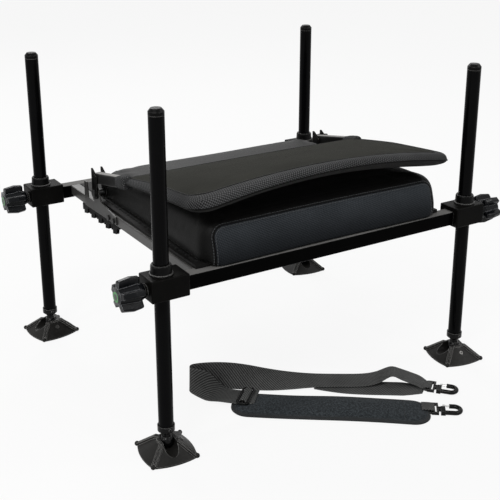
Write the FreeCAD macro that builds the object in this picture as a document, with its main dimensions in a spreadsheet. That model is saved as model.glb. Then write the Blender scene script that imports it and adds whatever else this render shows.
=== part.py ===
import FreeCAD, Part
import Sketcher
import math
import os
import re

# Feeder chair: a square-tube frame on four sliding legs with swivelling mud feet, a seat
# cushion, a backrest folded forward onto the seat, and a shoulder strap laid on the floor.
# Millimetres. +X runs along the long rails, -Y is the front of the seat, +Z is up.
# The origin is on the floor, in the middle of the four legs.

SIZES = {
    # legs and their places
    "legSpacingX": 632,
    "legSpacingY": 522,
    "legDiameter": 25,
    "legWall": 1.5,
    "legTop": 580,
    "capHeight": 6,
    "capDome": 5,
    "capCrown": 8.5,
    "plugLength": 18,
    # ball stud at the foot of a leg
    "ballHeight": 21.5,
    "ballRadius": 11.5,
    "neckRadius": 7.4,
    "ferruleBottom": 38,
    "ferruleShoulder": 42.5,
    "ferruleTop": 52,
    "ferruleRadius": 14.4,
    "ferruleSeat": 44,
    "rivetRadius": 2.4,
    "rivetProud": 0.7,
    # mud feet
    "footHalf": 38,
    "footBulge": 6.5,
    "footEdge": 2.5,
    "footTop": 24,
    "footCrown": 15,
    "ringRadius": 16.5,
    "ringTop": 26.5,
    "ribWidth": 8,
    "ribGroove": 2.6,
    "ribReach": 54,
    "ribRise": 3.2,
    "knucklesRadius": 4.2,
    "footScrewRadius": 3.6,
    "footScrewLength": 9,
    # frame
    "railSide": 25,
    "railWall": 2,
    "railRound": 2.5,
    "railCentre": 297,
    "railSocket": 14,
    "barWidth": 20,
    "barHeight": 19,
    "barOuter": 258,
    # corner blocks, their bushes and clamp knobs
    "blockOuter": 28,
    "blockInner": 38,
    "blockWidth": 47,
    "blockBottom": 281,
    "blockHeight": 37,
    "blockRound": 2.2,
    "lipRadius": 18.5,
    "lipHeight": 1.6,
    "bossRadius": 10.5,
    "bossLength": 4,
    "bushWall": 2.2,
    "collarHeight": 17,
    "collarRadius": 17,
    "flangeRadius": 19,
    "flangeHeight": 2.6,
    "rimHeight": 2,
    "knobHeight": 297,
    "knobGap": 1,
    "knobLength": 43,
    "knobHub": 17,
    "knobNose": 14.5,
    "knobReach": 28,
    "wingThick": 10.5,
    "wingCount": 5,
    "wingRound": 3,
    "studRadius": 4,
    "discRadius": 11.5,
    "discDepth": 2,
    "discProud": 1.6,
    # seat
    "boardThick": 6,
    "baseThick": 6,
    "baseReachX": 253,
    "cushionMiddleX": 4,
    "cushionHalfX": 246,
    "cushionBackHalf": 237,
    "cushionFront": 267,
    "cushionBack": 155,
    "cushionHeight": 69,
    "cushionBackHeight": 48,
    "cushionCorner": 30,
    "cushionDraw": 3,
    "cushionInset": 17,
    "cushionCrown": 4,
    # backrest hinge
    "pivotY": 114,
    "pivotZ": 332,
    "pivotRadius": 4,
    "plateThick": 3,
    "plateFront": 28,
    "plateFoot": 293,
    "stopFront": 158.5,
    "stopBack": 171,
    "stopTop": 342,
    "lugRadius": 12,
    "boltRadius": 3,
    "boltHead": 5,
    "boltHeadHeight": 3,
    "armSide": 20,
    "armWide": 16,
    "armWall": 2,
    "armTilt": 11,
    "armLift": 28.5,
    "armTail": 2,
    "armReach": 132,
    "cheekThick": 3,
    "cheekWidth": 22,
    "cheekTip": 47,
    "cheekShoulder": 35,
    # recline rack under each cross bar
    "rackThick": 6,
    "rackStrip": 4,
    "rackBack": 192,
    "rackPitch": 33.5,
    "rackCount": 5,
    "toothDepth": 19,
    "toothLength": 18,
    "nibDepth": 13,
    "nibLength": 4,
    "nibGap": 3,
    # backrest pad
    "padMiddleX": 4,
    "padBack": 16,
    "padFront": 284,
    "padHalf": 264,
    "padThick": 27,
    "padBackThick": 13,
    "padBackZ": 381.8,
    "padFrontZ": 437.5,
    "padArch": 27,
    "padDroop": 1.5,
    # strap
    "strapPadLength": 352,
    "strapPadWidth": 78,
    "strapPadThick": 8,
    "webWidth": 48,
    "webThick": 1.8,
    "stitchGap": 0.2,
    "buckleLength": 24,
    "buckleWidth": 58,
    "buckleThick": 4,
    "buckleBar": 5,
    "ringLength": 13,
    "ringWidth": 34,
    "ringBar": 3.4,
    "ringThick": 5,
    "swivelRadius": 4.6,
    "swivelLength": 11,
    "hookWire": 4,
    "hookBend": 11,
    "hookStraight": 20,
    "hookPoint": 8,
    "gateRadius": 1.8,
    # clearances
    "slideGap": 0.05,
    "ballGap": 0.08,
    "runGap": 0.3,
    "tipGap": 0.2,
    "floorGap": 0.3,
}

CORNERS = {
    "front_left": (-1, -1),
    "back_left": (-1, 1),
    "front_right": (1, -1),
    "back_right": (1, 1),
}
SIDES = {"left": -1, "right": 1}

# How each foot happens to be turned about its leg, in degrees.
FOOT_TURN = {"front_left": -6, "back_left": 9, "front_right": -9, "back_right": -9}
# Which facet of each foot carries the entry notch, as quarter turns from the front facet.
FOOT_NOTCH = {"front_left": 0, "back_left": 3, "front_right": 3, "back_right": 0}

doc = FreeCAD.newDocument("FeederChair")
sheet = doc.addObject("Spreadsheet::Sheet", "Sizes")
for row, (alias, value) in enumerate(SIZES.items(), start=1):
    sheet.set(f"A{row}", alias)
    sheet.set(f"B{row}", str(value))
    sheet.setAlias(f"B{row}", alias)
doc.recompute()

ALIAS = re.compile(r"\b(" + "|".join(SIZES) + r")\b")
Vector = FreeCAD.Vector
Rotation = FreeCAD.Rotation
TURNS = {
    "Z": Rotation(),
    "X": Rotation(Vector(0, 1, 0), 90),
    "-X": Rotation(Vector(0, 1, 0), -90),
    "Y": Rotation(Vector(1, 0, 0), -90),
    "-Y": Rotation(Vector(1, 0, 0), 90),
}
parts = []


# An expression on the sheet's cells, from words that name the sizes.
def cells(text):
    return ALIAS.sub(r"Sizes.\1", str(text))


# The number that such an expression comes to.
def worth(text):
    return float(sheet.evalExpression(cells(text)))


def bind(obj, **sizes):
    for name, text in sizes.items():
        obj.setExpression(name, cells(text))
    return obj


def place(obj, at, rotation=None):
    if rotation is not None:
        obj.Placement = FreeCAD.Placement(Vector(), rotation)
    for axis, text in zip("xyz", at):
        obj.setExpression(f"Placement.Base.{axis}", cells(text))
    return obj


def box(name, size, at, rotation=None):
    obj = doc.addObject("Part::Box", name)
    bind(obj, Length=size[0], Width=size[1], Height=size[2])
    return place(obj, at, rotation)


def cylinder(name, radius, height, at, axis="Z"):
    obj = doc.addObject("Part::Cylinder", name)
    bind(obj, Radius=radius, Height=height)
    return place(obj, at, TURNS[axis])


def cone(name, first, second, height, at, axis="Z"):
    obj = doc.addObject("Part::Cone", name)
    bind(obj, Radius1=first, Radius2=second, Height=height)
    return place(obj, at, TURNS[axis])


def sphere(name, radius, at):
    return place(bind(doc.addObject("Part::Sphere", name), Radius=radius), at)


def fuse(name, shapes):
    obj = doc.addObject("Part::MultiFuse", name)
    obj.Shapes = shapes
    obj.Refine = True
    return obj


def cut(name, base, tools):
    obj = doc.addObject("Part::Cut", name)
    obj.Base = base
    obj.Tool = tools[0] if len(tools) == 1 else fuse(name + "_tools", tools)
    obj.Refine = True
    return obj


# Separate solids kept together in one node.
def group(name, shapes):
    obj = doc.addObject("Part::Compound", name)
    obj.Links = shapes
    return obj


def node(obj, label):
    obj.Label = label
    parts.append(obj)
    return obj


def plane(body, role):
    return next(f for f in body.Origin.OriginFeatures if f.Role == role)


def new_sketch(body, name, role):
    sketch = body.newObject("Sketcher::SketchObject", name)
    sketch.AttachmentSupport = [(plane(body, role), "")]
    sketch.MapMode = "FlatFace"
    return sketch


# Holds one point of a sketch at two expressions measured from the sketch's origin.
def pin_point(sketch, edge, end, at):
    for kind, axis, text in (("DistanceX", -2, at[0]), ("DistanceY", -1, at[1])):
        value = worth(text)
        if abs(value) < 1e-9:
            sketch.addConstraint(Sketcher.Constraint("PointOnObject", edge, end, axis))
        else:
            index = sketch.addConstraint(Sketcher.Constraint(kind, -1, 1, edge, end, value))
            sketch.setExpression(f"Constraints[{index}]", cells(text))


# A closed outline of straight edges through points given as expressions.
def outline(sketch, points):
    corners = [Vector(worth(u), worth(v), 0) for u, v in points]
    first = sketch.GeometryCount
    count = len(points)
    for i in range(count):
        sketch.addGeometry(Part.LineSegment(corners[i], corners[(i + 1) % count]), False)
    for i in range(count):
        sketch.addConstraint(
            Sketcher.Constraint("Coincident", first + i, 2, first + (i + 1) % count, 1)
        )
    for i, point in enumerate(points):
        pin_point(sketch, first + i, 1, point)
    return sketch


def rectangle(sketch, half_u, half_v):
    return outline(
        sketch,
        [
            (f"-({half_u})", f"-({half_v})"),
            (half_u, f"-({half_v})"),
            (half_u, half_v),
            (f"-({half_u})", half_v),
        ],
    )


def pad(body, sketch, length, midplane=True):
    feature = body.newObject("PartDesign::Pad", sketch.Name + "_pad")
    feature.Profile = sketch
    feature.Midplane = midplane
    bind(feature, Length=length)
    doc.recompute()
    return feature


# A pocket through the whole body, both ways from its sketch.
def through_pocket(body, sketch):
    before = body.Shape.Volume
    feature = body.newObject("PartDesign::Pocket", sketch.Name + "_pocket")
    feature.Profile = sketch
    feature.Type = "ThroughAll"
    feature.Midplane = True
    doc.recompute()
    if body.Shape.Volume >= before - 1e-6:
        raise RuntimeError(f"{sketch.Name} cuts nothing")
    return feature


# Rounds the edges of a feature that run along the given axis, or all of them.
def round_edges(body, base, radius, along=None):
    names = []
    for i, edge in enumerate(base.Shape.Edges, start=1):
        tangent = edge.tangentAt(edge.FirstParameter)
        if along is None or abs(getattr(tangent, along)) > 0.999:
            names.append(f"Edge{i}")
    feature = body.newObject("PartDesign::Fillet", base.Name + "_round")
    feature.Base = (base, names)
    bind(feature, Radius=radius)
    doc.recompute()
    return feature


def new_body(name):
    return doc.addObject("PartDesign::Body", name)


# A square or oblong tube about its own middle, along X (sketch on YZ) or Y (sketch on XZ).
def tube_body(name, role, half_u, half_v, wall, length, rounding):
    body = new_body(name)
    outer = rectangle(new_sketch(body, name + "_outer", role), half_u, half_v)
    run = pad(body, outer, length)
    round_edges(body, run, rounding, {"YZ_Plane": "x", "XZ_Plane": "y"}[role])
    inner = new_sketch(body, name + "_inner", role)
    rectangle(inner, f"{half_u} - {wall}", f"{half_v} - {wall}")
    through_pocket(body, inner)
    return body


# Long rails, socketed into the corner blocks.
def make_rails():
    length = "legSpacingX - 2*blockInner + 2*railSocket"
    for name, side in (("rail_front", -1), ("rail_back", 1)):
        rail = tube_body(name, "YZ_Plane", "railSide/2", "railSide/2", "railWall", length, "railRound")
        place(rail, ("0", f"{side}*legSpacingY/2", "railCentre"))
        node(rail, name)


BAR_TOP = "railCentre + railSide/2"
BAR_MIDDLE = "railCentre + railSide/2 - barHeight/2"
CROSS_SPAN = "legSpacingY - railSide"
CUSHION_FOOT = "railCentre + railSide/2 + baseThick"


# Cross bars between the rails, flush with their tops.
def make_cross_bars():
    for name, side in SIDES.items():
        label = "cross_bar_" + name
        bar = tube_body(label, "XZ_Plane", "barWidth/2", "barHeight/2", "railWall", CROSS_SPAN, "railRound")
        place(bar, (f"{side}*(barOuter - barWidth/2)", "0", BAR_MIDDLE))
        node(bar, label)


# A corner block: bored for the leg bush, socketed for the rail and tapped for the clamp screw.
def make_block(label, sx, sy):
    leg_x, leg_y = f"{sx}*legSpacingX/2", f"{sy}*legSpacingY/2"
    body = new_body(label + "_moulding")
    low, high = ("-blockOuter", "blockInner") if sx < 0 else ("-blockInner", "blockOuter")
    sketch = new_sketch(body, label + "_outline", "XY_Plane")
    outline(
        sketch,
        [(low, "-blockWidth/2"), (high, "-blockWidth/2"), (high, "blockWidth/2"), (low, "blockWidth/2")],
    )
    slab = pad(body, sketch, "blockHeight", midplane=False)
    round_edges(body, slab, "blockRound")
    place(body, (leg_x, leg_y, "blockBottom"))
    outward = "X" if sx > 0 else "-X"
    boss = cylinder(
        label + "_boss", "bossRadius", "bossLength + blockRound",
        (f"{leg_x} + {sx}*(blockOuter - blockRound)", leg_y, "knobHeight"), outward,
    )
    lip = cylinder(label + "_lip", "lipRadius", "lipHeight + blockRound",
                   (leg_x, leg_y, "blockBottom - lipHeight"))
    bore = cylinder(label + "_bore", "legDiameter/2 + slideGap + bushWall",
                    "blockHeight + 2*lipHeight + 2", (leg_x, leg_y, "blockBottom - lipHeight - 1"))
    tapped = cylinder(label + "_tapping", "studRadius + slideGap", "blockOuter + bossLength",
                      (f"{leg_x} + {sx}*legDiameter/2", leg_y, "knobHeight"), outward)
    socket = box(
        label + "_socket",
        ("railSocket + 1", "railSide", "railSide"),
        (
            f"{leg_x} - {sx}*(blockInner - railSocket)" + (" - railSocket - 1" if sx > 0 else ""),
            f"{leg_y} - railSide/2",
            "railCentre - railSide/2",
        ),
    )
    whole = fuse(label + "_whole", [body, boss, lip])
    node(cut(label + "_block", whole, [bore, tapped, socket]), "corner_block_" + label)


# The plastic bush that guides a leg, with its collar standing on the block.
def make_bush(label, sx, sy):
    leg_x, leg_y = f"{sx}*legSpacingX/2", f"{sy}*legSpacingY/2"
    top = "blockBottom + blockHeight"
    sleeve = cylinder(label + "_sleeve", "legDiameter/2 + slideGap + bushWall",
                      "blockHeight + lipHeight", (leg_x, leg_y, "blockBottom - lipHeight"))
    flange = cylinder(label + "_flange", "flangeRadius", "flangeHeight", (leg_x, leg_y, top))
    collar = cone(label + "_collar", "collarRadius + 0.6", "collarRadius - 0.4", "collarHeight - rimHeight",
                  (leg_x, leg_y, top))
    rim = cone(label + "_rim", "collarRadius - 0.4", "collarRadius - 1.6", "rimHeight",
               (leg_x, leg_y, f"{top} + collarHeight - rimHeight"))
    hollow = cylinder(label + "_way", "legDiameter/2 + slideGap", "blockHeight + collarHeight + 2*lipHeight + 2",
                      (leg_x, leg_y, "blockBottom - lipHeight - 1"))
    screw_way = cylinder(label + "_screw_way", "studRadius + slideGap", "legDiameter",
                         (leg_x, leg_y, "knobHeight"), "X" if sx > 0 else "-X")
    return cut(label + "_bush", fuse(label + "_bush_whole", [sleeve, flange, collar, rim]), [hollow, screw_way])


# A leg tube with the plug in its top and the ball stud on its bottom.
def make_leg(label, sx, sy):
    leg_x, leg_y = f"{sx}*legSpacingX/2", f"{sy}*legSpacingY/2"
    tube_top = "legTop - capHeight - capDome"
    tube = cut(
        label + "_leg",
        cylinder(label + "_leg_outside", "legDiameter/2", f"{tube_top} - ferruleSeat",
                 (leg_x, leg_y, "ferruleSeat")),
        [cylinder(label + "_leg_inside", "legDiameter/2 - legWall", f"{tube_top} - ferruleSeat + 2",
                  (leg_x, leg_y, "ferruleSeat - 1"))],
    )
    node(tube, "leg_" + label)
    cap = fuse(
        label + "_cap",
        [
            cylinder(label + "_cap_stem", "legDiameter/2 - legWall - slideGap", "plugLength + 1",
                     (leg_x, leg_y, f"{tube_top} - plugLength")),
            cylinder(label + "_cap_band", "legDiameter/2", "capHeight", (leg_x, leg_y, tube_top)),
            cone(label + "_cap_dome", "legDiameter/2", "capCrown", "capDome",
                 (leg_x, leg_y, f"{tube_top} + capHeight")),
        ],
    )
    node(cap, "leg_cap_" + label)
    stud = cut(
        label + "_stud",
        fuse(
            label + "_stud_whole",
            [
                cone(label + "_ferrule_base", "neckRadius + 2", "ferruleRadius",
                     "ferruleShoulder - ferruleBottom", (leg_x, leg_y, "ferruleBottom")),
                cylinder(label + "_ferrule", "ferruleRadius", "ferruleTop - ferruleShoulder",
                         (leg_x, leg_y, "ferruleShoulder")),
                cylinder(label + "_neck", "neckRadius", "ferruleShoulder - ballHeight",
                         (leg_x, leg_y, "ballHeight")),
                sphere(label + "_ball", "ballRadius", (leg_x, leg_y, "ballHeight")),
                cylinder(label + "_rivet", "rivetRadius", "ferruleRadius + rivetProud",
                         (leg_x, leg_y, "(ferruleShoulder + ferruleTop)/2"), "-Y"),
            ],
        ),
        [cylinder(label + "_ferrule_bore", "legDiameter/2", "ferruleTop", (leg_x, leg_y, "ferruleSeat"))],
    )
    node(stud, "ball_stud_" + label)


# The plan of a foot at one height: four bulging sides between the corners.
def foot_ring(half, bulge, height):
    wire = []
    corners = [Vector(-half, -half, height), Vector(half, -half, height),
               Vector(half, half, height), Vector(-half, half, height)]
    outward = [Vector(0, -1, 0), Vector(1, 0, 0), Vector(0, 1, 0), Vector(-1, 0, 0)]
    for i in range(4):
        a, b = corners[i], corners[(i + 1) % 4]
        middle = (a + b) * 0.5 + outward[i] * bulge
        wire.append(Part.Arc(a, middle, b).toShape())
    return Part.Wire(wire)


# A mud foot: bulging pyramid, double ribs on its corners with rounded knuckles, a ring round
# the ball socket, and a notch in one facet through which the ball goes in.
def make_foot(label, sx, sy):
    leg_x, leg_y = f"{sx}*legSpacingX/2", f"{sy}*legSpacingY/2"
    turn = Rotation(Vector(0, 0, 1), FOOT_TURN[label])
    half, bulge, edge = worth("footHalf"), worth("footBulge"), worth("footEdge")
    crown, top = worth("footCrown"), worth("footTop")
    pyramid = doc.addObject("Part::Feature", label + "_pyramid")
    skirt = Part.makeLoft([foot_ring(half, bulge, 0), foot_ring(half, bulge, edge)], True, True)
    slope = Part.makeLoft([foot_ring(half, bulge, edge), foot_ring(crown, bulge / 2, top)], True, True)
    pyramid.Shape = skirt.fuse(slope).removeSplitter()

    ribs = new_body(label + "_ribs")
    corner = "footHalf*sqrt(2)"
    inner = "footCrown*sqrt(2)"
    run = new_sketch(ribs, label + "_rib", "XZ_Plane")
    outline(run, [("ballRadius", "footEdge"), ("ballRadius", "footTop + ribRise"),
                  (inner, "footTop + ribRise"), ("ribReach", "footEdge + ribRise"), ("ribReach", "footEdge")])
    run_pad = pad(ribs, run, "ribWidth")
    split = new_sketch(ribs, label + "_rib_split", "XZ_Plane")
    outline(split, [(inner, "footTop + ribRise + 1"), (f"{inner}", "footTop + ribRise - 2"),
                    ("ribReach - 4", "footEdge + ribRise - 1"), ("ribReach - 4", "footEdge + ribRise + 3")])
    groove = ribs.newObject("PartDesign::Pocket", label + "_rib_groove")
    groove.Profile = split
    groove.Midplane = True
    bind(groove, Length="ribGroove")
    doc.recompute()
    around = ribs.newObject("PartDesign::PolarPattern", label + "_ribs_around")
    around.Originals = [run_pad, groove]
    around.Axis = (plane(ribs, "Z_Axis"), [""])
    around.Angle = 360
    around.Occurrences = 4
    ribs.Tip = around
    doc.recompute()
    ribs.Placement = FreeCAD.Placement(Vector(), Rotation(Vector(0, 0, 1), 45))

    pieces = [pyramid, ribs, cylinder(label + "_ring", "ringRadius", "ringTop - footEdge", ("0", "0", "footEdge"))]
    for i in range(4):
        turned = math.radians(45 + 90 * i)
        knuckle = sphere(label + f"_knuckle_{i}", "knucklesRadius",
                         (f"ribReach*{math.cos(turned):.6f}", f"ribReach*{math.sin(turned):.6f}", "knucklesRadius"))
        pieces.append(knuckle)
    socket = sphere(label + "_socket_ball", "ballRadius + ballGap", ("0", "0", "ballHeight"))
    mouth = cylinder(label + "_socket_mouth", "ballRadius + ballGap", "ringTop", ("0", "0", "ballHeight + 3"))
    entry = cylinder(label + "_entry", "ballRadius + ballGap", "footHalf + footBulge + 5",
                     ("0", "0", "ballHeight"), "-Y")
    above = box(label + "_entry_top", ("2*(ballRadius + ballGap)", "footHalf + footBulge + 5", "ringTop"),
                ("-ballRadius - ballGap", "-(footHalf + footBulge + 5)", "ballHeight"))
    notch = fuse(label + "_notch", [entry, above])
    notch.Placement = FreeCAD.Placement(Vector(), Rotation(Vector(0, 0, 1), 90 * FOOT_NOTCH[label]))
    screw_turn = math.radians(90 * (FOOT_NOTCH[label] + 1) - 90)
    away = Vector(math.cos(screw_turn), math.sin(screw_turn), 0)
    lean = math.atan2(top - edge, half - crown)
    normal = away * math.sin(lean) + Vector(0, 0, math.cos(lean))
    level = (top + edge) / 2 + 4
    reach = crown + bulge / 2 + (half + bulge / 2 - crown) * (top - level) / (top - edge)
    head_at = away * reach + Vector(0, 0, level) + normal * 1.2
    upright = Rotation(Vector(0, 0, 1), normal)
    hole = doc.addObject("Part::Cylinder", label + "_screw_hole")
    bind(hole, Radius="footScrewRadius + slideGap", Height="footScrewLength")
    hole.Placement = FreeCAD.Placement(head_at - normal * worth("footScrewLength"), upright)
    moulding = cut(label + "_foot", fuse(label + "_foot_whole", pieces), [socket, mouth, notch, hole])
    place(moulding, (leg_x, leg_y, "0"), turn)
    node(moulding, "foot_" + label)

    drive = doc.addObject("Part::Prism", label + "_screw_drive")
    drive.Polygon = 6
    bind(drive, Circumradius="footScrewRadius*0.55", Height="footScrewLength/3")
    drive.Placement = FreeCAD.Placement(head_at - normal * 1.6, upright)
    shank = doc.addObject("Part::Cylinder", label + "_screw_shank")
    bind(shank, Radius="footScrewRadius", Height="footScrewLength")
    shank.Placement = hole.Placement
    screw = cut(label + "_foot_screw", shank, [drive])
    place(screw, (leg_x, leg_y, "0"), turn)
    node(screw, "foot_screw_" + label)


# The clamp knob with its wings, the threaded stud set in it and the disc in its nose.
def make_knob(label, sx, sy):
    leg_x, leg_y = f"{sx}*legSpacingX/2", f"{sy}*legSpacingY/2"
    start = "blockOuter + bossLength + knobGap"
    rotation = TURNS["X" if sx > 0 else "-X"]
    hub = fuse(
        label + "_hub",
        [
            cone(label + "_hub_back", "bossRadius + 2", "knobHub", "knobLength/4", ("0", "0", "0")),
            cone(label + "_hub_front", "knobHub", "knobNose", "knobLength*3/4", ("0", "0", "knobLength/4")),
        ],
    )
    wings = new_body(label + "_wings")
    blade = new_sketch(wings, label + "_wing", "XZ_Plane")
    outline(blade, [("knobHub/2", "knobLength/8"), ("knobReach - 2", "knobLength/8"),
                    ("knobReach", "knobLength/2"), ("knobReach - 3", "knobLength*0.95"),
                    ("knobHub/2", "knobLength*0.98")])
    blade_pad = pad(wings, blade, "wingThick")
    outer_edges = []
    for i, edge in enumerate(blade_pad.Shape.Edges, start=1):
        if edge.CenterOfMass.x > worth("knobHub"):
            outer_edges.append(f"Edge{i}")
    soft = wings.newObject("PartDesign::Fillet", label + "_wing_round")
    soft.Base = (blade_pad, outer_edges)
    bind(soft, Radius="wingRound")
    doc.recompute()
    around = wings.newObject("PartDesign::PolarPattern", label + "_wings_around")
    around.Originals = [blade_pad, soft]
    around.Axis = (plane(wings, "Z_Axis"), [""])
    around.Angle = 360
    bind(around, Occurrences="wingCount")
    wings.Tip = around
    doc.recompute()
    whole = fuse(label + "_knob_whole", [hub, wings])
    recess = cylinder(label + "_knob_recess", "discRadius", "discDepth + 1", ("0", "0", "knobLength - discDepth"))
    seat = cylinder(label + "_knob_seat", "studRadius", "knobLength/2 + 1", ("0", "0", "-1"))
    knob = cut(label + "_knob", whole, [recess, seat])
    at = (f"{leg_x} + {sx}*({start})", leg_y, "knobHeight")
    place(knob, at, rotation)
    node(knob, "knob_" + label)
    tip = "legDiameter/2 + tipGap"
    stud = cylinder(label + "_knob_stud", "studRadius", f"{start} - ({tip}) + knobLength/2",
                    (f"{leg_x} + {sx}*({tip})", leg_y, "knobHeight"), "X" if sx > 0 else "-X")
    node(stud, "knob_stud_" + label)
    face = fuse(
        label + "_knob_disc",
        [
            cylinder(label + "_disc_base", "discRadius", "discDepth", ("0", "0", "knobLength - discDepth")),
            cone(label + "_disc_face", "discRadius", "discRadius - 2", "discProud", ("0", "0", "knobLength")),
        ],
    )
    place(face, at, rotation)
    node(face, "knob_disc_" + label)


# One level of the cushion: side arcs drawn in between rounded corners. The level is a share of
# the cushion's height, which falls from the front to the back, plus a part of the crown.
def cushion_ring(inset, share, draw, crown=0.0):
    middle, half = worth("cushionMiddleX"), worth("cushionHalfX") - inset
    left, right = middle - half, middle + half
    front, back = -worth("cushionFront") + inset, worth("cushionBack") - inset
    r = worth("cushionCorner")
    s = r * (1 - math.sqrt(0.5))

    def at(x, y):
        along = (y + worth("cushionFront")) / worth("cushionFront + cushionBack")
        tall = worth("cushionHeight") + worth("cushionBackHeight - cushionHeight") * along
        narrow = 1 - (1 - worth("cushionBackHalf/cushionHalfX")) * along
        return Vector(middle * (1 - along) + (x - middle) * narrow, y,
                      worth(CUSHION_FOOT) + tall * share + worth("cushionCrown") * crown)

    sides = [
        (at(left + r, front), at(middle, front + draw), at(right - r, front)),
        (at(right, front + r), at(right - draw, (front + back) / 2), at(right, back - r)),
        (at(right - r, back), at(middle, back - draw), at(left + r, back)),
        (at(left, back - r), at(left + draw, (front + back) / 2), at(left, front + r)),
    ]
    knees = [at(right - s, front + s), at(right - s, back - s), at(left + s, back - s), at(left + s, front + s)]
    edges = []
    for i, (first, middle_point, last) in enumerate(sides):
        edges.append(Part.Arc(first, middle_point, last).toShape())
        edges.append(Part.Arc(last, knees[i], sides[(i + 1) % 4][0]).toShape())
    return Part.Wire(edges)


# The plate that closes the frame, the cushion's own base, and the crowned cushion.
def make_seat():
    gap = "runGap"
    board = box("seat_board_plate",
                (f"2*(barOuter - barWidth) - 2*{gap}", f"{CROSS_SPAN} - 2*{gap}", "boardThick"),
                (f"-(barOuter - barWidth) + {gap}", f"-({CROSS_SPAN})/2 + {gap}", f"{BAR_TOP} - boardThick"))
    node(board, "seat_board")
    base = box("cushion_base_plate",
               ("2*baseReachX", "cushionFront + cushionBack - cushionCorner/2", "baseThick"),
               ("-baseReachX", "-cushionFront + cushionCorner/3", BAR_TOP))
    node(base, "cushion_base")
    inset, draw = worth("cushionInset"), worth("cushionDraw")
    levels = [
        (4, 0, draw), (1, 0.10, draw), (0, 0.45, draw / 3), (2, 0.78, draw),
        (inset * 0.45, 0.93, draw), (inset, 1.0, draw),
    ]
    rings = [cushion_ring(*level) for level in levels]
    body = Part.makeLoft(rings, True, False)
    crown = Part.makeLoft(
        [rings[-1], cushion_ring(inset * 3, 1.0, draw, 0.7), cushion_ring(inset * 6, 1.0, draw, 1.0)], True, False)
    cushion = doc.addObject("Part::Feature", "seat_cushion_body")
    cushion.Shape = body.fuse(crown)
    node(cushion, "seat_cushion")


PLATE_X = "barOuter + plateThick"
ARM_X = "barOuter + plateThick + runGap - armWide/2"
BOLT_PLACES = ("plateFront + 11", "plateFront + 32")


# The bracket bolted to a cross bar's outer face: pivot lug, slanted front and rear stop.
def make_hinge_plate(side_name, side):
    label = "hinge_plate_" + side_name
    body = new_body(label + "_sheet")
    sketch = new_sketch(body, label + "_outline", "YZ_Plane")
    valley = f"{BAR_TOP} + 3"
    outline(
        sketch,
        [
            ("plateFront", "plateFoot + 2"), ("stopBack", "plateFoot"), ("stopBack", "stopTop"),
            ("stopFront", "stopTop"), ("stopFront - 2", valley), ("pivotY + lugRadius", valley),
            ("pivotY + lugRadius", "pivotZ"), ("pivotY - lugRadius", "pivotZ"),
            ("pivotY - lugRadius - 6", "pivotZ - lugRadius"), ("plateFront + 2", BAR_TOP),
        ],
    )
    pad(body, sketch, "plateThick")
    place(body, (f"{side}*(barOuter + plateThick/2)", "0", "0"))
    lug = cylinder(label + "_lug", "lugRadius", "plateThick",
                   (f"{side}*(barOuter + plateThick/2) - plateThick/2", "pivotY", "pivotZ"), "X")
    hole = cylinder(label + "_hole", "pivotRadius", "plateThick + 2",
                    (f"{side}*(barOuter + plateThick/2) - plateThick/2 - 1", "pivotY", "pivotZ"), "X")
    tools = [hole]
    for i, y in enumerate(BOLT_PLACES):
        tools.append(cylinder(f"{label}_bolt_hole_{i}", "boltRadius", "plateThick + 2",
                              (f"{side}*(barOuter + plateThick/2) - plateThick/2 - 1", y, BAR_MIDDLE), "X"))
    node(cut(label + "_drilled", fuse(label + "_whole", [body, lug]), tools), label)


# Bracket bolts on the cross bars, and the pivot bolts of the backrest with their sleeves.
def make_hinge_bolts():
    bolts = []
    for name, side in SIDES.items():
        axis = "X" if side > 0 else "-X"
        for i, y in enumerate(BOLT_PLACES):
            tag = f"bracket_bolt_{name}_{i}"
            shank = cylinder(tag + "_shank", "boltRadius", "plateThick",
                             (f"{side}*barOuter", y, BAR_MIDDLE), axis)
            head = cylinder(tag + "_head", "boltHead", "boltHeadHeight",
                            (f"{side}*({PLATE_X})", y, BAR_MIDDLE), axis)
            bolts.append(fuse(tag, [shank, head]))
        tag = "pivot_bolt_" + name
        cheek_out = f"{ARM_X} + armWide/2 + cheekThick + runGap"
        cheek_in = f"{ARM_X} - armWide/2 - cheekThick - runGap"
        shank = cylinder(tag + "_shank", "pivotRadius", f"({cheek_out}) - ({cheek_in})",
                         (f"{side}*({cheek_in})", "pivotY", "pivotZ"), axis)
        head = cylinder(tag + "_head", "pivotRadius + 3", "boltHeadHeight",
                        (f"{side}*({cheek_out})", "pivotY", "pivotZ"), axis)
        nut = cylinder(tag + "_nut", "pivotRadius + 2.5", "boltHeadHeight/2",
                       (f"{side}*(({cheek_in}) - boltHeadHeight/2)", "pivotY", "pivotZ"), axis)
        sleeve_in = f"{ARM_X} - armWide/2 + runGap"
        sleeve = cylinder(tag + "_sleeve", "pivotRadius + 3", f"barOuter - ({sleeve_in})",
                          (f"{side}*({sleeve_in})", "pivotY", "pivotZ"), axis)
        bolts.append(fuse(tag, [shank, head, nut, sleeve]))
    node(group("all_hinge_bolts", bolts), "hinge_bolts")


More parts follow.
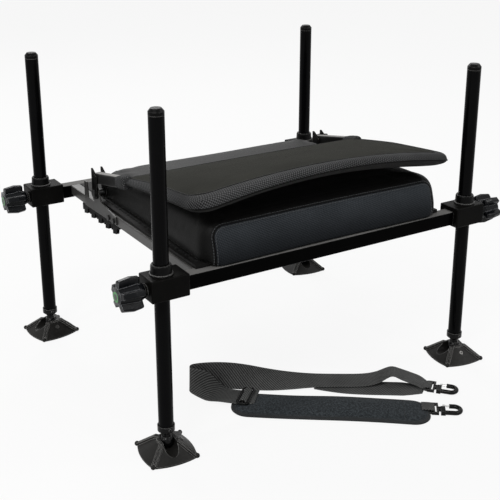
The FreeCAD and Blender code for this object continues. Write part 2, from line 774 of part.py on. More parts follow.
# The toothed rack under the rear half of a cross bar.
def make_rack(side_name, side):
    label = "recline_rack_" + side_name
    body = new_body(label)
    sketch = new_sketch(body, label + "_outline", "YZ_Plane")
    top = f"{BAR_TOP} - barHeight"
    points = [("rackBack", top), (f"rackBack - rackCount*rackPitch", top)]
    for i in reversed(range(int(worth("rackCount")))):
        heel = f"rackBack - {i}*rackPitch"
        points += [
            (f"{heel} - rackPitch + 1", f"{top} - rackStrip"),
            (f"{heel} - nibLength - nibGap - toothLength", f"{top} - rackStrip"),
            (f"{heel} - nibLength - nibGap - toothLength + 3", f"{top} - toothDepth + 3"),
            (f"{heel} - nibLength - nibGap", f"{top} - toothDepth"),
            (f"{heel} - nibLength - nibGap + 0.5", f"{top} - rackStrip"),
            (f"{heel} - nibLength", f"{top} - rackStrip"),
            (f"{heel} - nibLength + 0.5", f"{top} - nibDepth"),
            (f"{heel} - 0.5", f"{top} - nibDepth"),
            (heel, f"{top} - rackStrip"),
        ]
    outline(sketch, points)
    pad(body, sketch, "rackThick")
    place(body, (f"{side}*(barOuter - rackThick/2)", "0", "0"))
    node(body, label)


# The forks that straddle the hinge plates, the arms they carry and the padded backrest.
def make_backrest():
    arms = []
    for name, side in SIDES.items():
        arm = tube_body("arm_" + name, "XZ_Plane", "armWide/2", "armSide/2", "armWall",
                        "armReach + armTail", "armWall")
        tilt = math.radians(worth("armTilt"))
        middle = "(armReach - armTail)/2"
        place(arm, (f"{side}*({ARM_X})",
                    f"pivotY - {middle}*{math.cos(tilt):.6f} + armLift*{math.sin(tilt):.6f}",
                    f"pivotZ + {middle}*{math.sin(tilt):.6f} + armLift*{math.cos(tilt):.6f}"),
              Rotation(Vector(1, 0, 0), -worth("armTilt")))
        node(arm, "backrest_arm_" + name)
        arms.append((name, side, tilt))
    for name, side in SIDES.items():
        label = "hinge_fork_" + name
        cheeks = []
        for end, offset in (("out", "armWide/2"), ("in", "-armWide/2 - cheekThick")):
            body = new_body(f"{label}_{end}")
            sketch = new_sketch(body, f"{label}_{end}_outline", "YZ_Plane")
            outline(sketch, [("pivotY - cheekWidth/2", "pivotZ"), ("pivotY + cheekWidth/2", "pivotZ"),
                             ("pivotY + cheekWidth/2", "pivotZ + cheekTip"),
                             ("pivotY + cheekWidth/2 - 3", "pivotZ + cheekTip"),
                             ("pivotY - cheekWidth/2", "pivotZ + cheekShoulder")])
            pad(body, sketch, "cheekThick")
            centre = f"{side}*({ARM_X} + {offset} + cheekThick/2)"
            place(body, (centre, "0", "0"))
            boss = cylinder(f"{label}_{end}_boss", "cheekWidth/2", "cheekThick",
                            (f"{centre} - cheekThick/2", "pivotY", "pivotZ"), "X")
            cheeks += [body, boss]
        web = box(label + "_web", ("armWide", "cheekThick", "armSide*0.7"),
                  (f"{side}*({ARM_X}) - armWide/2", "pivotY + cheekWidth/2 - cheekThick + 1.5",
                   "pivotZ + armLift - armSide*0.4"))
        hole = cylinder(label + "_hole", "pivotRadius + slideGap", "armWide + 4*cheekThick",
                        (f"{side}*({ARM_X}) - armWide/2 - 2*cheekThick", "pivotY", "pivotZ"), "X")
        node(cut(label + "_drilled", fuse(label + "_whole", cheeks + [web]), [hole]), label)
    make_pad(arms)


# One slice of the backrest pad across the chair: arched top and underside, rounded ends.
def pad_slice(y, half, edge_z, centre_z, thick):
    middle = worth("padMiddleX")
    nose = thick * 0.5
    left, right = middle - half, middle + half
    a, b = Vector(left + nose, y, edge_z + nose), Vector(right - nose, y, edge_z + nose)
    c, d = Vector(right - nose, y, edge_z - nose), Vector(left + nose, y, edge_z - nose)
    return Part.Wire([
        Part.Arc(a, Vector(middle, y, centre_z + nose), b).toShape(),
        Part.Arc(b, Vector(right, y, edge_z), c).toShape(),
        Part.Arc(c, Vector(middle, y, centre_z - nose), d).toShape(),
        Part.Arc(d, Vector(left, y, edge_z), a).toShape(),
    ])


# The pad lies along the arms: thin and flat at its hinge end, full and arched at its free edge.
# Each station is a share of its length, of its plumpness, and how far its ends are drawn in.
def make_pad(arms):
    back, front = worth("padBack"), -worth("padFront")
    stations = [(0.0, 0.5, 15), (0.025, 0.85, 6), (0.07, 1.0, 2), (0.2, 1.0, 0), (0.45, 1.0, 0),
                (0.75, 1.0, 0), (0.9, 1.0, 3), (0.965, 0.8, 14), (1.0, 0.4, 30)]
    slices = []
    for share, plump, drawn in stations:
        y = back + (front - back) * share
        full = worth("padBackThick") + worth("padThick - padBackThick") * min(1.0, share / 0.45)
        crest = worth("padBackZ") + worth("padFrontZ - padBackZ") * share
        edge = crest - worth("padDroop") - worth("padArch - padDroop") * share ** 1.3
        slices.append(pad_slice(y, worth("padHalf") - drawn, edge, crest, full * plump))
    shell = doc.addObject("Part::Feature", "backrest_pad_shell")
    shell.Shape = Part.makeLoft(slices, True, False)
    pockets = []
    reach, low = "(armReach + 2)", "(armLift - armSide/2)"
    for name, side, tilt in arms:
        pocket = box(f"pad_pocket_{name}", ("armWide", "armReach + 2", "armSide"), ("0", "0", "0"),
                     Rotation(Vector(1, 0, 0), -worth("armTilt")))
        place(pocket, (f"{side}*({ARM_X}) - armWide/2",
                       f"pivotY - {reach}*{math.cos(tilt):.6f} + {low}*{math.sin(tilt):.6f}",
                       f"pivotZ + {reach}*{math.sin(tilt):.6f} + {low}*{math.cos(tilt):.6f}"))
        pockets.append(pocket)
    node(cut("backrest_pad_body", shell, pockets), "backrest_pad")


# The strap's long webbing from its slider to the upper hook, and the short tail under it. Each
# point has the direction of the webbing's width beside it: flat under the slider, on edge where
# the strap turns back at its left end, flat again towards the hook.
LONG_WEB = [
    ((-106, -206, 9.8), (0.70, 0.71, 0)), ((-125, -197, 9.8), (0.74, 0.67, 0)),
    ((-142, -182, 9.8), (0.80, 0.60, 0)), ((-153, -167, 8.6), (0.80, 0.60, 0)),
    ((-162, -150, 7.6), (0.82, 0.53, 0.20)), ((-171.4, -135.2, 17.8), (0.669, 0.327, 0.669)),
    ((-183.5, -126, 24.0), (0.318, 0.127, 0.94)), ((-191.5, -115, 24.9), (0.087, 0, 0.996)),
    ((-189, -105.5, 24.9), (0.02, 0.02, 1)), ((-180, -102, 24.9), (0.02, 0.06, 0.998)),
    ((-153.4, -113.9, 24.3), (0.148, 0.213, 0.966)), ((-120.7, -130.8, 21.8), (0.318, 0.424, 0.848)),
    ((-90.7, -148.1, 17.6), (0.446, 0.594, 0.669)), ((-61.9, -167.3, 13.6), (0.381, 0.779, 0.50)),
    ((-25.3, -183.4, 8.0), (0.444, 0.86, 0.259)), ((19, -204.8, 5.2), (0.457, 0.885, 0.03)),
    ((62, -229, 4.0), (0.56, 0.83, 0)), ((101, -254, 4.4), (0.52, 0.85, 0)),
    ((126, -263, 7.6), (0.52, 0.85, -0.06)), ((138, -267, 13.5), (0.52, 0.84, -0.12)),
    ((147, -278, 22.5), (0.59, 0.80, -0.12)), ((157, -290, 18.0), (0.60, 0.80, -0.05)),
    ((172, -300, 11.0), (0.62, 0.78, -0.05)), ((184, -315, 6.6), (0.80, 0.60, 0)),
    ((186.4, -332.8, 3.4), (0.77, 0.64, 0)),
]
SHORT_WEB = [
    ((176, -335, 1.4), (0.80, 0.60, 0)), ((150, -316, 1.4), (0.60, 0.80, 0)),
    ((118, -294, 1.4), (0.56, 0.83, 0)), ((80, -268, 1.4), (0.55, 0.835, 0)),
    ((46, -240, 1.4), (0.57, 0.82, 0)), ((20, -207, 1.4), (0.60, 0.80, 0)),
]


# A flat ribbon through the given points, closed from flat facets between its cross-sections. Both
# of its wide sides are split along the same diagonals, so that it keeps its thickness in a twist.
def ribbon(name, route):
    rings = []
    for i, (point, across) in enumerate(route):
        middle = Vector(*point)
        before = Vector(*route[max(i - 1, 0)][0])
        after = Vector(*route[min(i + 1, len(route) - 1)][0])
        reach = Vector(*across)
        lift = reach.cross(after - before)
        reach = reach * (worth("webWidth") / 2 / reach.Length)
        lift = lift * (worth("webThick") / 2 / lift.Length)
        ring = [middle - reach - lift, middle + reach - lift, middle + reach + lift, middle - reach + lift]
        rings.append(ring)
    loops = [rings[0][::-1], rings[-1]]
    for here, there in zip(rings, rings[1:]):
        for i, j in ((0, 1), (1, 2)):
            loops += [[here[i], here[j], there[j]], [here[i], there[j], there[i]]]
        for i, j in ((2, 3), (3, 0)):
            loops += [[here[i], here[j], there[i]], [here[j], there[j], there[i]]]
    shell = Part.makeShell([Part.Face(Part.makePolygon(loop + loop[:1])) for loop in loops])
    shell.sewShape()
    obj = doc.addObject("Part::Feature", name)
    obj.Shape = Part.makeSolid(shell)
    if obj.Shape.Volume <= 0:
        raise RuntimeError(f"{name} is inside out")
    return obj


# A snap hook lying flat: the ring for the webbing, a swivel barrel, the bent hook and its gate.
def snap_hook(name, at, turn):
    width, bar = "ringWidth", "ringBar"
    ring = cut(
        name + "_ring",
        box(name + "_ring_outside", ("ringLength", width, "ringThick"), ("0", f"-{width}/2", "-ringThick/2")),
        [box(name + "_ring_inside", (f"ringLength - 2*{bar}", f"{width} - 2*{bar}", "ringThick + 2"),
             (bar, f"-{width}/2 + {bar}", "-ringThick/2 - 1"))],
    )
    swivel = cylinder(name + "_swivel", "swivelRadius", "swivelLength", (f"ringLength - {bar}", "0", "0"), "X")
    spine_x = f"ringLength - {bar} + swivelLength"
    shoulder = box(name + "_shoulder", ("2*hookWire", "hookBend + 2*hookWire", "2*hookWire"),
                   (f"{spine_x} - hookWire", "-hookBend - hookWire", "-hookWire"))
    spine = cylinder(name + "_spine", "hookWire", "hookStraight", (spine_x, "-hookBend", "0"), "X")
    bend = doc.addObject("Part::Torus", name + "_bend")
    bind(bend, Radius1="hookBend", Radius2="hookWire")
    bend.Angle3 = 180
    place(bend, (f"{spine_x} + hookStraight", "0", "0"), Rotation(Vector(0, 0, 1), -90))
    point = cylinder(name + "_point", "hookWire", "hookPoint",
                     (f"{spine_x} + hookStraight - hookPoint", "hookBend", "0"), "X")
    hook = fuse(name + "_whole", [ring, swivel, shoulder, spine, bend, point])
    gate = cylinder(name + "_gate", "gateRadius", "hookStraight - hookPoint", (spine_x, "hookBend", "0"), "X")
    heel = box(name + "_gate_heel", ("hookWire", "hookBend - hookWire + gateRadius", "2*gateRadius"),
               (spine_x, "hookWire", "-gateRadius"))
    latch = fuse(name + "_latch", [gate, heel])
    for obj in (hook, latch):
        place(obj, at, Rotation(Vector(0, 0, 1), turn))
    return hook, latch


# The carrying strap, taken off and laid on the floor in front of the chair.
def make_strap():
    body = new_body("shoulder_pad_body")
    sketch = rectangle(new_sketch(body, "shoulder_pad_plan", "XY_Plane"), "strapPadLength/2", "strapPadWidth/2")
    slab = pad(body, sketch, "strapPadThick", midplane=False)
    ends = round_edges(body, slab, "strapPadWidth*0.4", "z")
    rims = [f"Edge{i}" for i, edge in enumerate(ends.Shape.Edges, start=1)
            if abs(edge.BoundBox.ZLength) < 1e-6 and edge.CenterOfMass.z > worth("strapPadThick") / 2]
    soft = body.newObject("PartDesign::Fillet", "shoulder_pad_soft")
    soft.Base = (ends, rims)
    bind(soft, Radius="strapPadThick*0.45")
    place(body, ("-11", "-298.5", "floorGap"), Rotation(Vector(0, 0, 1), -37.4))
    node(body, "shoulder_pad")
    node(group("strap_webs", [ribbon("long_web", LONG_WEB), ribbon("short_web", SHORT_WEB)]), "strap_webbing")
    frame = box("buckle_frame", ("buckleLength", "buckleWidth", "buckleThick"),
                ("-buckleLength/2", "-buckleWidth/2", "0"))
    slots = []
    slot = "(buckleLength - 3*buckleBar)/2"
    for i, start in enumerate(("-buckleLength/2 + buckleBar", "buckleBar/2")):
        slots.append(box(f"buckle_slot_{i}", (slot, "buckleWidth - 2*buckleBar", "buckleThick + 2"),
                         (start, "-buckleWidth/2 + buckleBar", "-1")))
    buckle = cut("buckle", frame, slots)
    place(buckle, ("-124", "-197", "9.8 + webThick/2 + stitchGap"), Rotation(Vector(0, 0, 1), -47))
    node(buckle, "slider_buckle")
    lift = "floorGap + swivelRadius"
    upper, upper_latch = snap_hook("upper_hook", ("187", "-333.5", lift), -50)
    lower, lower_latch = snap_hook("lower_hook", ("138.2", "-395.8", lift), -38)
    node(upper, "snap_hook_upper")
    node(lower, "snap_hook_lower")
    node(group("hook_latches", [upper_latch, lower_latch]), "hook_gates")


def make_corners():
    bushes = []
    for label, (sx, sy) in CORNERS.items():
        make_block(label, sx, sy)
        bushes.append(make_bush(label, sx, sy))
        make_leg(label, sx, sy)
        make_foot(label, sx, sy)
        make_knob(label, sx, sy)
    node(group("all_leg_bushes", bushes), "leg_bushes")


def write_parts():
    doc.recompute()
    failed = [o.Name for o in doc.Objects if {"Invalid", "Error"} & set(o.State)]
    failed += [o.Label for o in parts if o.Shape.isNull() or not o.Shape.isValid() or not o.Shape.Solids]
    if failed:
        raise RuntimeError("failed: " + ", ".join(failed))
    os.makedirs("parts", exist_ok=True)
    for obj in parts:
        obj.Shape.exportStep(f"parts/{obj.Label}.step")
    print(len(parts), "parts written")


make_rails()
make_cross_bars()
make_corners()
make_seat()
for side_name, side in SIDES.items():
    make_hinge_plate(side_name, side)
    make_rack(side_name, side)
make_hinge_bolts()
make_backrest()
make_strap()
write_parts()
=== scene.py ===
import math

import bpy
import numpy as np
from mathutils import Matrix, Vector
from mathutils.bvhtree import BVHTree


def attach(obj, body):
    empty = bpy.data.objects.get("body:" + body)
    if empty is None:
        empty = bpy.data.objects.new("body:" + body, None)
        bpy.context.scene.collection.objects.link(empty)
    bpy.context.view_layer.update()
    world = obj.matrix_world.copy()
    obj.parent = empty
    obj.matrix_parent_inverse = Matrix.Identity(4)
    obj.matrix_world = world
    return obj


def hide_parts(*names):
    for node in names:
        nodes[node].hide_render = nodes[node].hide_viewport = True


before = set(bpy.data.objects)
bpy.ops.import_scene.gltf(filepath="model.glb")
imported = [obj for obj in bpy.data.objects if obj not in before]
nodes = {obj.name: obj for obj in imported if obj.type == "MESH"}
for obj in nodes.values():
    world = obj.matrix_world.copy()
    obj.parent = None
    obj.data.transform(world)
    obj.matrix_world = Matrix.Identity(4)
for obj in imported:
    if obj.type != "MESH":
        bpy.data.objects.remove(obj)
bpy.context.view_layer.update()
scene = bpy.context.scene
sides = ("left", "right")

# The camera fitted to the photograph: metres, degrees, and a focal length in pixels.
shot = dict(eye=(-0.92654, -1.4996, 0.9103), yaw=31.923, pitch=18.968, focal=968.694, picture=500,
            sensor=36, shiftY=-0.1)


def makeCamera():
    data = bpy.data.cameras.new("studioCamera")
    data.sensor_width = shot["sensor"]
    data.lens = shot["focal"] / shot["picture"] * shot["sensor"]
    data.shift_y = shot["shiftY"]
    camera = bpy.data.objects.new("studioCamera", data)
    camera.location = shot["eye"]
    camera.rotation_euler = (math.radians(90 - shot["pitch"]), 0, math.radians(-shot["yaw"]))
    scene.collection.objects.link(camera)
    scene.camera = camera


# One output socket of a node tree, so that shader sums read as sums.
class Wire:
    def __init__(self, look, socket):
        self.look, self.socket = look, socket

    def math(self, kind, *terms):
        return self.look.node("ShaderNodeMath", {"operation": kind}, dict(enumerate(terms)))

    def __add__(self, other): return self.math("ADD", self, other)
    def __radd__(self, other): return self.math("ADD", other, self)
    def __sub__(self, other): return self.math("SUBTRACT", self, other)
    def __rsub__(self, other): return self.math("SUBTRACT", other, self)
    def __mul__(self, other): return self.math("MULTIPLY", self, other)
    def __rmul__(self, other): return self.math("MULTIPLY", other, self)
    def __truediv__(self, other): return self.math("DIVIDE", self, other)
    def __rtruediv__(self, other): return self.math("DIVIDE", other, self)
    def __pow__(self, other): return self.math("POWER", self, other)
    def __rpow__(self, other): return self.math("POWER", other, self)
    def __abs__(self): return self.math("ABSOLUTE", self)
    def sine(self): return self.math("SINE", self)
    def least(self, other): return self.math("MINIMUM", self, other)


# How a rounded edge is sampled, and how far its normal turns where the pale edge, wear and painted highlight,
# starts and is full.
edgeWearAndHighlight = dict(samples=6, starts=0.02, full=0.22)


# A node tree that is written one node at a time.
class Look:
    def __init__(self, holder):
        holder.use_nodes = True
        self.holder, self.tree = holder, holder.node_tree
        self.tree.nodes.clear()

    def node(self, kind, settings=None, sockets=None, out=0):
        made = self.tree.nodes.new(kind)
        for key, value in (settings or {}).items():
            setattr(made, key, value)
        for key, value in (sockets or {}).items():
            if isinstance(value, Wire):
                self.tree.links.new(value.socket, made.inputs[key])
            else:
                made.inputs[key].default_value = value
        return Wire(self, made.outputs[out]) if made.outputs else made

    def spot(self):
        return self.node("ShaderNodeTexCoord", out="Object")

    def weave(self):
        return self.parts(self.node("ShaderNodeUVMap", {"uv_map": "weave"}))

    def parts(self, vector):
        made = self.node("ShaderNodeSeparateXYZ", None, {0: vector}).socket.node
        return [Wire(self, made.outputs[i]) for i in range(3)]

    def stretch(self, vector, scale):
        return self.node("ShaderNodeVectorMath", {"operation": "MULTIPLY"}, {0: vector, 1: scale})

    def noise(self, vector, scale, detail=2.0, rough=0.5):
        return self.node("ShaderNodeTexNoise", None,
                         {"Vector": vector, "Scale": scale, "Detail": detail, "Roughness": rough})

    def pebbles(self, vector, scale):
        return self.node("ShaderNodeTexVoronoi", {"feature": "SMOOTH_F1"},
                         {"Vector": vector, "Scale": scale, "Smoothness": 0.6})

    def step(self, value, low, high):
        return self.node("ShaderNodeMapRange", {"interpolation_type": "SMOOTHSTEP"},
                         {"Value": value, "From Min": low, "From Max": high})

    def blend(self, share, first, second):
        return self.node("ShaderNodeMix", {"data_type": "RGBA"},
                         {0: share, 6: colour(first), 7: colour(second)}, out=2)

    def bump(self, height, distance, over=None):
        sockets = {"Height": height, "Distance": distance}
        return self.node("ShaderNodeBump", None, dict(sockets, Normal=over) if over else sockets)

    def rounded(self, radius):
        return self.node("ShaderNodeBevel", {"samples": edgeWearAndHighlight["samples"]}, {"Radius": radius})

    # Rounded edges, which are painted paler: wear, and a painted highlight.
    def rubbedEdgeAndHighlight(self, soft):
        flat = self.node("ShaderNodeNewGeometry", out="Normal")
        same = self.node("ShaderNodeVectorMath", {"operation": "DOT_PRODUCT"}, {0: soft, 1: flat},
                         out="Value")
        return self.step(1 - same, edgeWearAndHighlight["starts"], edgeWearAndHighlight["full"])

    def surface(self, **sockets):
        named = {key.replace("_", " "): value for key, value in sockets.items()}
        shader = self.node("ShaderNodeBsdfPrincipled", None, named)
        self.node("ShaderNodeOutputMaterial", None, {"Surface": shader})
        return self.holder


# A wire, three values, or one value for a grey.
def colour(value):
    if isinstance(value, Wire):
        return value
    return (value, value, value, 1.0) if isinstance(value, float) else (*value, 1.0)


def newLook(name):
    look = Look(bpy.data.materials.new(name))
    return look, look.spot()


# Each lamp has a place, a size and a power.
stageSet = dict(floorSide=40.0, drop=0.0004, floorShade=(0.56, 0.56, 0.555), floorRough=0.85, floorShine=0.1,
                glow=0.9, daylight=0.38, white=1.0, aim=(0, 0, 0.3),
                lamps=[((-1.9, -1.5, 2.7), (0.9, 0.9), 52), ((1.9, -1.1, 2.4), (0.8, 0.8), 18),
                       ((0.3, 2.2, 2.4), (1.4, 1.4), 58), ((-2.3, -0.35, 1.5), (0.1, 2.0), 16),
                       ((0.9, -2.4, 1.6), (0.1, 2.0), 10)])


# A pale floor, white all round, three soft lamps and two upright strips.
def makeStage():
    s = stageSet
    side = s["floorSide"] / 2
    outline = ((-side, -side), (side, -side), (side, side), (-side, side))
    mesh = bpy.data.meshes.new("studioFloor")
    mesh.from_pydata([(x, y, -s["drop"]) for x, y in outline], [], [(0, 1, 2, 3)])
    floor = bpy.data.objects.new("studioFloor", mesh)
    scene.collection.objects.link(floor)
    look = Look(bpy.data.materials.new("paleFloor"))
    paint = look.node("ShaderNodeBsdfPrincipled", None, {
        "Base Color": colour(s["floorShade"]), "Roughness": s["floorRough"],
        "Specular IOR Level": s["floorShine"]})
    glow = look.node("ShaderNodeEmission", None, {"Color": colour(1.0), "Strength": s["white"]})
    mixed = look.node("ShaderNodeMixShader", None, {0: seenRay(look) * s["glow"], 1: paint, 2: glow})
    look.node("ShaderNodeOutputMaterial", None, {"Surface": mixed})
    mesh.materials.append(look.holder)
    world = Look(bpy.data.worlds.new("studioWorld"))
    scene.world = world.holder
    strength = seenRay(world) * (s["white"] - s["daylight"]) + s["daylight"]
    sky = world.node("ShaderNodeBackground", None, {"Color": colour(1.0), "Strength": strength})
    world.node("ShaderNodeOutputWorld", None, {"Surface": sky})
    for i, (place, size, power) in enumerate(s["lamps"]):
        lamp = bpy.data.lights.new(f"softLamp{i}", "AREA")
        lamp.shape, lamp.size, lamp.size_y, lamp.energy = "RECTANGLE", *size, power
        holder = bpy.data.objects.new(f"softLamp{i}", lamp)
        holder.location, holder.visible_camera = place, False
        holder.rotation_euler = (Vector(s["aim"]) - Vector(place)).to_track_quat("-Z", "Y").to_euler()
        scene.collection.objects.link(holder)
    scene.view_settings.view_transform = "Standard"
    print("stage:", len(s["lamps"]), "lamps")


def seenRay(look):
    rays = look.node("ShaderNodeLightPath", out="Is Camera Ray")
    outs = rays.socket.node.outputs
    glossy, through = Wire(look, outs["Is Glossy Ray"]), Wire(look, outs["Is Transmission Ray"])
    return (rays + glossy + through).least(1.0)


# Sizes of the noise in cycles per metre; pairs are where a mask starts and is full. The top sheen shade is a
# pale colour painted on what faces up, a painted sheen.
paintSet = dict(scratch=760.0, lengthways=9.0, patch=11.0, skin=520.0, haze=37.0, scratched=(0.6, 0.72),
                patched=(0.46, 0.62), level=(0.8, 0.98), peel=0.00006, edge=0.0018,
                wornEdgeAndHighlight=(0.12, 0.117, 0.112), topSheenShade=(0.2, 0.196, 0.19))


# Painted metal: fine scratches along it, edges made paler as wear and as a painted highlight, and a painted
# sheen, a paler colour on what faces up.
def paintedTube(name, along, shade, worn, rough, shine, dustAndPaintedSheen=0.0, edge=paintSet["edge"]):
    p = paintSet
    look, spot = newLook(name)
    scale = [p["scratch"]] * 3
    scale[along] = p["lengthways"]
    scratch = look.noise(look.stretch(spot, scale), 1.0, 3.0)
    patch = look.noise(spot, p["patch"], 3.0)
    rub = look.step(scratch, *p["scratched"]) * look.step(patch, *p["patched"])
    skin = look.noise(spot, p["skin"])
    haze = look.noise(spot, p["haze"], 4.0)
    facing = look.parts(look.node("ShaderNodeTexCoord", out="Normal"))[2]
    # Painted sheen: faces that point up are painted paler, standing in for the light on them.
    paintedTopSheen = look.step(facing, *p["level"]) * (patch * 0.7 + haze * 0.5 + 0.4) * dustAndPaintedSheen
    soft = look.rounded(edge)
    paint = look.blend(rub * 0.7 + haze * 0.15, shade, worn)
    # Edges painted paler: wear, and a painted highlight.
    paint = look.blend(look.rubbedEdgeAndHighlight(soft) * (haze * 0.9 + 0.25), paint, p["wornEdgeAndHighlight"])
    return look.surface(
        Base_Color=look.blend(paintedTopSheen, paint, p["topSheenShade"]),
        Roughness=haze * 0.1 + rub * 0.22 + paintedTopSheen * 0.4 + rough,
        Normal=look.bump(skin + rub * 0.4, p["peel"], soft),
        Specular_IOR_Level=shine)


plasticSet = dict(cloud=24.0, speck=95.0, specked=(0.55, 0.78), edge=0.0022, wornEdgeAndHighlight=(0.17, 0.168, 0.164))


# Moulded plastic: a grained skin, a little dust, and paler edges, where they are handled and as a painted
# highlight.
def mouldedPlastic(name, shade, pale, rough, shine, grain, depth,
                   edge=plasticSet["edge"], wornEdgeAndHighlight=plasticSet["wornEdgeAndHighlight"]):
    look, spot = newLook(name)
    skin = look.pebbles(spot, grain)
    cloud = look.noise(spot, plasticSet["cloud"], 4.0, 0.6)
    dustAndPaintedSheen = look.step(look.noise(spot, plasticSet["speck"], 5.0, 0.7), *plasticSet["specked"])
    soft = look.rounded(edge)
    plain = look.blend(cloud * 0.5 + dustAndPaintedSheen * 0.35, shade, pale)
    return look.surface(
        Base_Color=look.blend(look.rubbedEdgeAndHighlight(soft) * (cloud * 0.9 + 0.25), plain, wornEdgeAndHighlight),
        Roughness=cloud * 0.14 + dustAndPaintedSheen * 0.1 + rough,
        Normal=look.bump(skin + dustAndPaintedSheen * 0.2, depth, soft),
        Specular_IOR_Level=shine)


steelSet = dict(stain=130.0, depth=0.00004)


def brightSteel(name, shade, dull, rough, scale):
    look, spot = newLook(name)
    lines = look.noise(look.stretch(spot, scale), 1.0, 3.0)
    stain = look.noise(spot, steelSet["stain"], 4.0)
    return look.surface(
        Base_Color=look.blend(stain * 0.6, shade, dull), Metallic=1.0,
        Roughness=lines * 0.16 + stain * 0.08 + rough, Normal=look.bump(lines, steelSet["depth"]))


discMark = dict(axisY=0.261, axisZ=0.297, inner=0.0052, outer=0.0086, blur=0.0003, frayed=0.0006,
                depth=0.00015, green=(0.03, 0.195, 0.038), shade=(0.012, 0.013, 0.013))


# The knob's end disc: a plain coloured ring on black.
def ringedDisc(name):
    d = discMark
    look, spot = newLook(name)
    _, y, z = look.parts(spot)
    away = (((abs(y) - d["axisY"]) ** 2.0) + ((z - d["axisZ"]) ** 2.0)) ** 0.5
    away = away + (look.noise(spot, 900.0) - 0.5) * d["frayed"]
    ring, past = [look.step(away, d[edge] - d["blur"], d[edge] + d["blur"]) for edge in ("inner", "outer")]
    ring = ring * (1 - past)
    return look.surface(
        Base_Color=look.blend(ring, d["shade"], d["green"]),
        Roughness=look.noise(spot, 220.0) * 0.2 + 0.26,
        Normal=look.bump(ring + look.noise(spot, 800.0) * 0.1, d["depth"]), Specular_IOR_Level=0.4)


boardSet = dict(grain=(6.0, 160.0, 420.0), depth=0.00025, shade=0.003, pale=(0.01, 0.0095, 0.009))


def boardGrain(name):
    look, spot = newLook(name)
    ply = look.noise(look.stretch(spot, boardSet["grain"]), 1.0, 4.0, 0.6)
    blot = look.noise(spot, 9.0, 3.0)
    return look.surface(
        Base_Color=look.blend(ply * 0.6 + blot * 0.3, boardSet["shade"], boardSet["pale"]),
        Roughness=ply * 0.2 + 0.52, Normal=look.bump(ply, boardSet["depth"]), Specular_IOR_Level=0.1)


leatherSet = dict(pebble=620.0, crease=(34.0, 60.0, 60.0), cloud=13.0, depth=0.00032, sheen=0.035)


# Leather cloth with a fine pebbled grain and soft creases.
def leatherCloth(name, shade, pale, rough, shine):
    look, spot = newLook(name)
    pebble = look.pebbles(spot, leatherSet["pebble"])
    crease = look.noise(look.stretch(spot, leatherSet["crease"]), 1.0, 5.0, 0.62)
    cloud = look.noise(spot, leatherSet["cloud"], 3.0)
    return look.surface(
        Base_Color=look.blend(cloud * 0.6 + pebble * 0.5, shade, pale),
        Roughness=pebble * 0.18 + cloud * 0.08 + rough,
        Normal=look.bump(pebble * 0.7 + crease * 0.9, leatherSet["depth"]),
        Specular_IOR_Level=shine, Sheen_Weight=leatherSet["sheen"], Sheen_Roughness=0.3)


# Turns a length along the cloth into the angle of threads with this pitch.
def threads(length, pitch):
    return length * (2 * math.pi / pitch)


# Threads that pass over and under each other: bite narrows them, and the colour is painted darker towards the
# foot, a painted shade.
def wovenCloth(name, shade, pale, pitch, rough, shine, sheen, depth, slant=0.0, fleck=0.25, bite=1.0,
               foot=None):
    look, spot = newLook(name)
    u, v, _ = look.weave()
    over = threads(u + v * slant, pitch).sine() * threads(v - u * slant, pitch).sine()
    thread = (over * 0.5 + 0.5) ** bite
    hair = look.noise(spot, 1500.0, 3.0)
    cloud = look.noise(spot, 17.0, 4.0, 0.6)
    share = thread * 0.55 + cloud * 0.35 / bite + (hair - 0.5) * fleck
    # Painted shade: the colour is made darker towards the bottom.
    if foot:
        share = share * (look.step(look.parts(spot)[2], *foot) * 0.85 + 0.15)
    return look.surface(
        Base_Color=look.blend(share, shade, pale),
        Roughness=thread * 0.12 + cloud * 0.06 + rough,
        Normal=look.bump(thread + hair * 0.35, depth),
        Specular_IOR_Level=shine, Sheen_Weight=sheen, Sheen_Roughness=0.5)


webSet = dict(half=0.024, rib=0.0052, ribSlant=0.85, pick=0.0017, pickSlant=0.3, edgeFrom=0.003,
              edgeTo=0.0016, depth=0.00042)


# Ribbed webbing: slanted ribs across the band, picks along them and a tight edge.
def ribbedWeb(name, shade, pale):
    w = webSet
    look, spot = newLook(name)
    u, v, _ = look.weave()
    rib = threads(u + v * w["ribSlant"], w["rib"]).sine()
    pick = threads(v - u * w["pickSlant"], w["pick"]).sine()
    edge = look.step(abs(v), w["half"] - w["edgeFrom"], w["half"] - w["edgeTo"])
    hair = look.noise(spot, 1300.0, 3.0)
    wear = look.noise(spot, 26.0, 4.0, 0.6)
    share = rib * 0.26 + pick * 0.1 + hair * 0.3 + wear * 0.35 + edge * 0.1
    height = rib * 0.55 + pick * 0.25 + hair * 0.5 + edge * 0.8
    return look.surface(
        Base_Color=look.blend(share, shade, pale),
        Roughness=hair * 0.2 + 0.58, Normal=look.bump(height, w["depth"]),
        Specular_IOR_Level=0.08, Sheen_Weight=0.03, Sheen_Roughness=0.5)


feltSet = dict(fibre=700.0, tuft=120.0, fleck=330.0, flecked=(0.44, 0.62), depth=0.0006, sheen=0.04)


# Felt: short tangled fibres with paler flecks.
def feltCloth(name, shade, pale):
    f = feltSet
    look, spot = newLook(name)
    fibre = look.noise(spot, f["fibre"], 5.0, 0.7)
    tuft = look.noise(spot, f["tuft"], 3.0, 0.6)
    fleck = look.step(look.noise(spot, f["fleck"], 3.0, 0.65), *f["flecked"])
    return look.surface(
        Base_Color=look.blend(fleck * 0.45 + tuft * 0.45, shade, pale),
        Roughness=fibre * 0.15 + 0.78, Normal=look.bump(fibre + tuft * 0.7, f["depth"]),
        Specular_IOR_Level=0.04, Sheen_Weight=f["sheen"], Sheen_Roughness=0.6)


def twistedThread(name, shade, pale):
    look, spot = newLook(name)
    ply = look.noise(spot, 2600.0)
    return look.surface(Base_Color=look.blend(ply, shade, pale), Roughness=ply * 0.2 + 0.45,
                        Normal=look.bump(ply, 0.0001), Specular_IOR_Level=0.3)


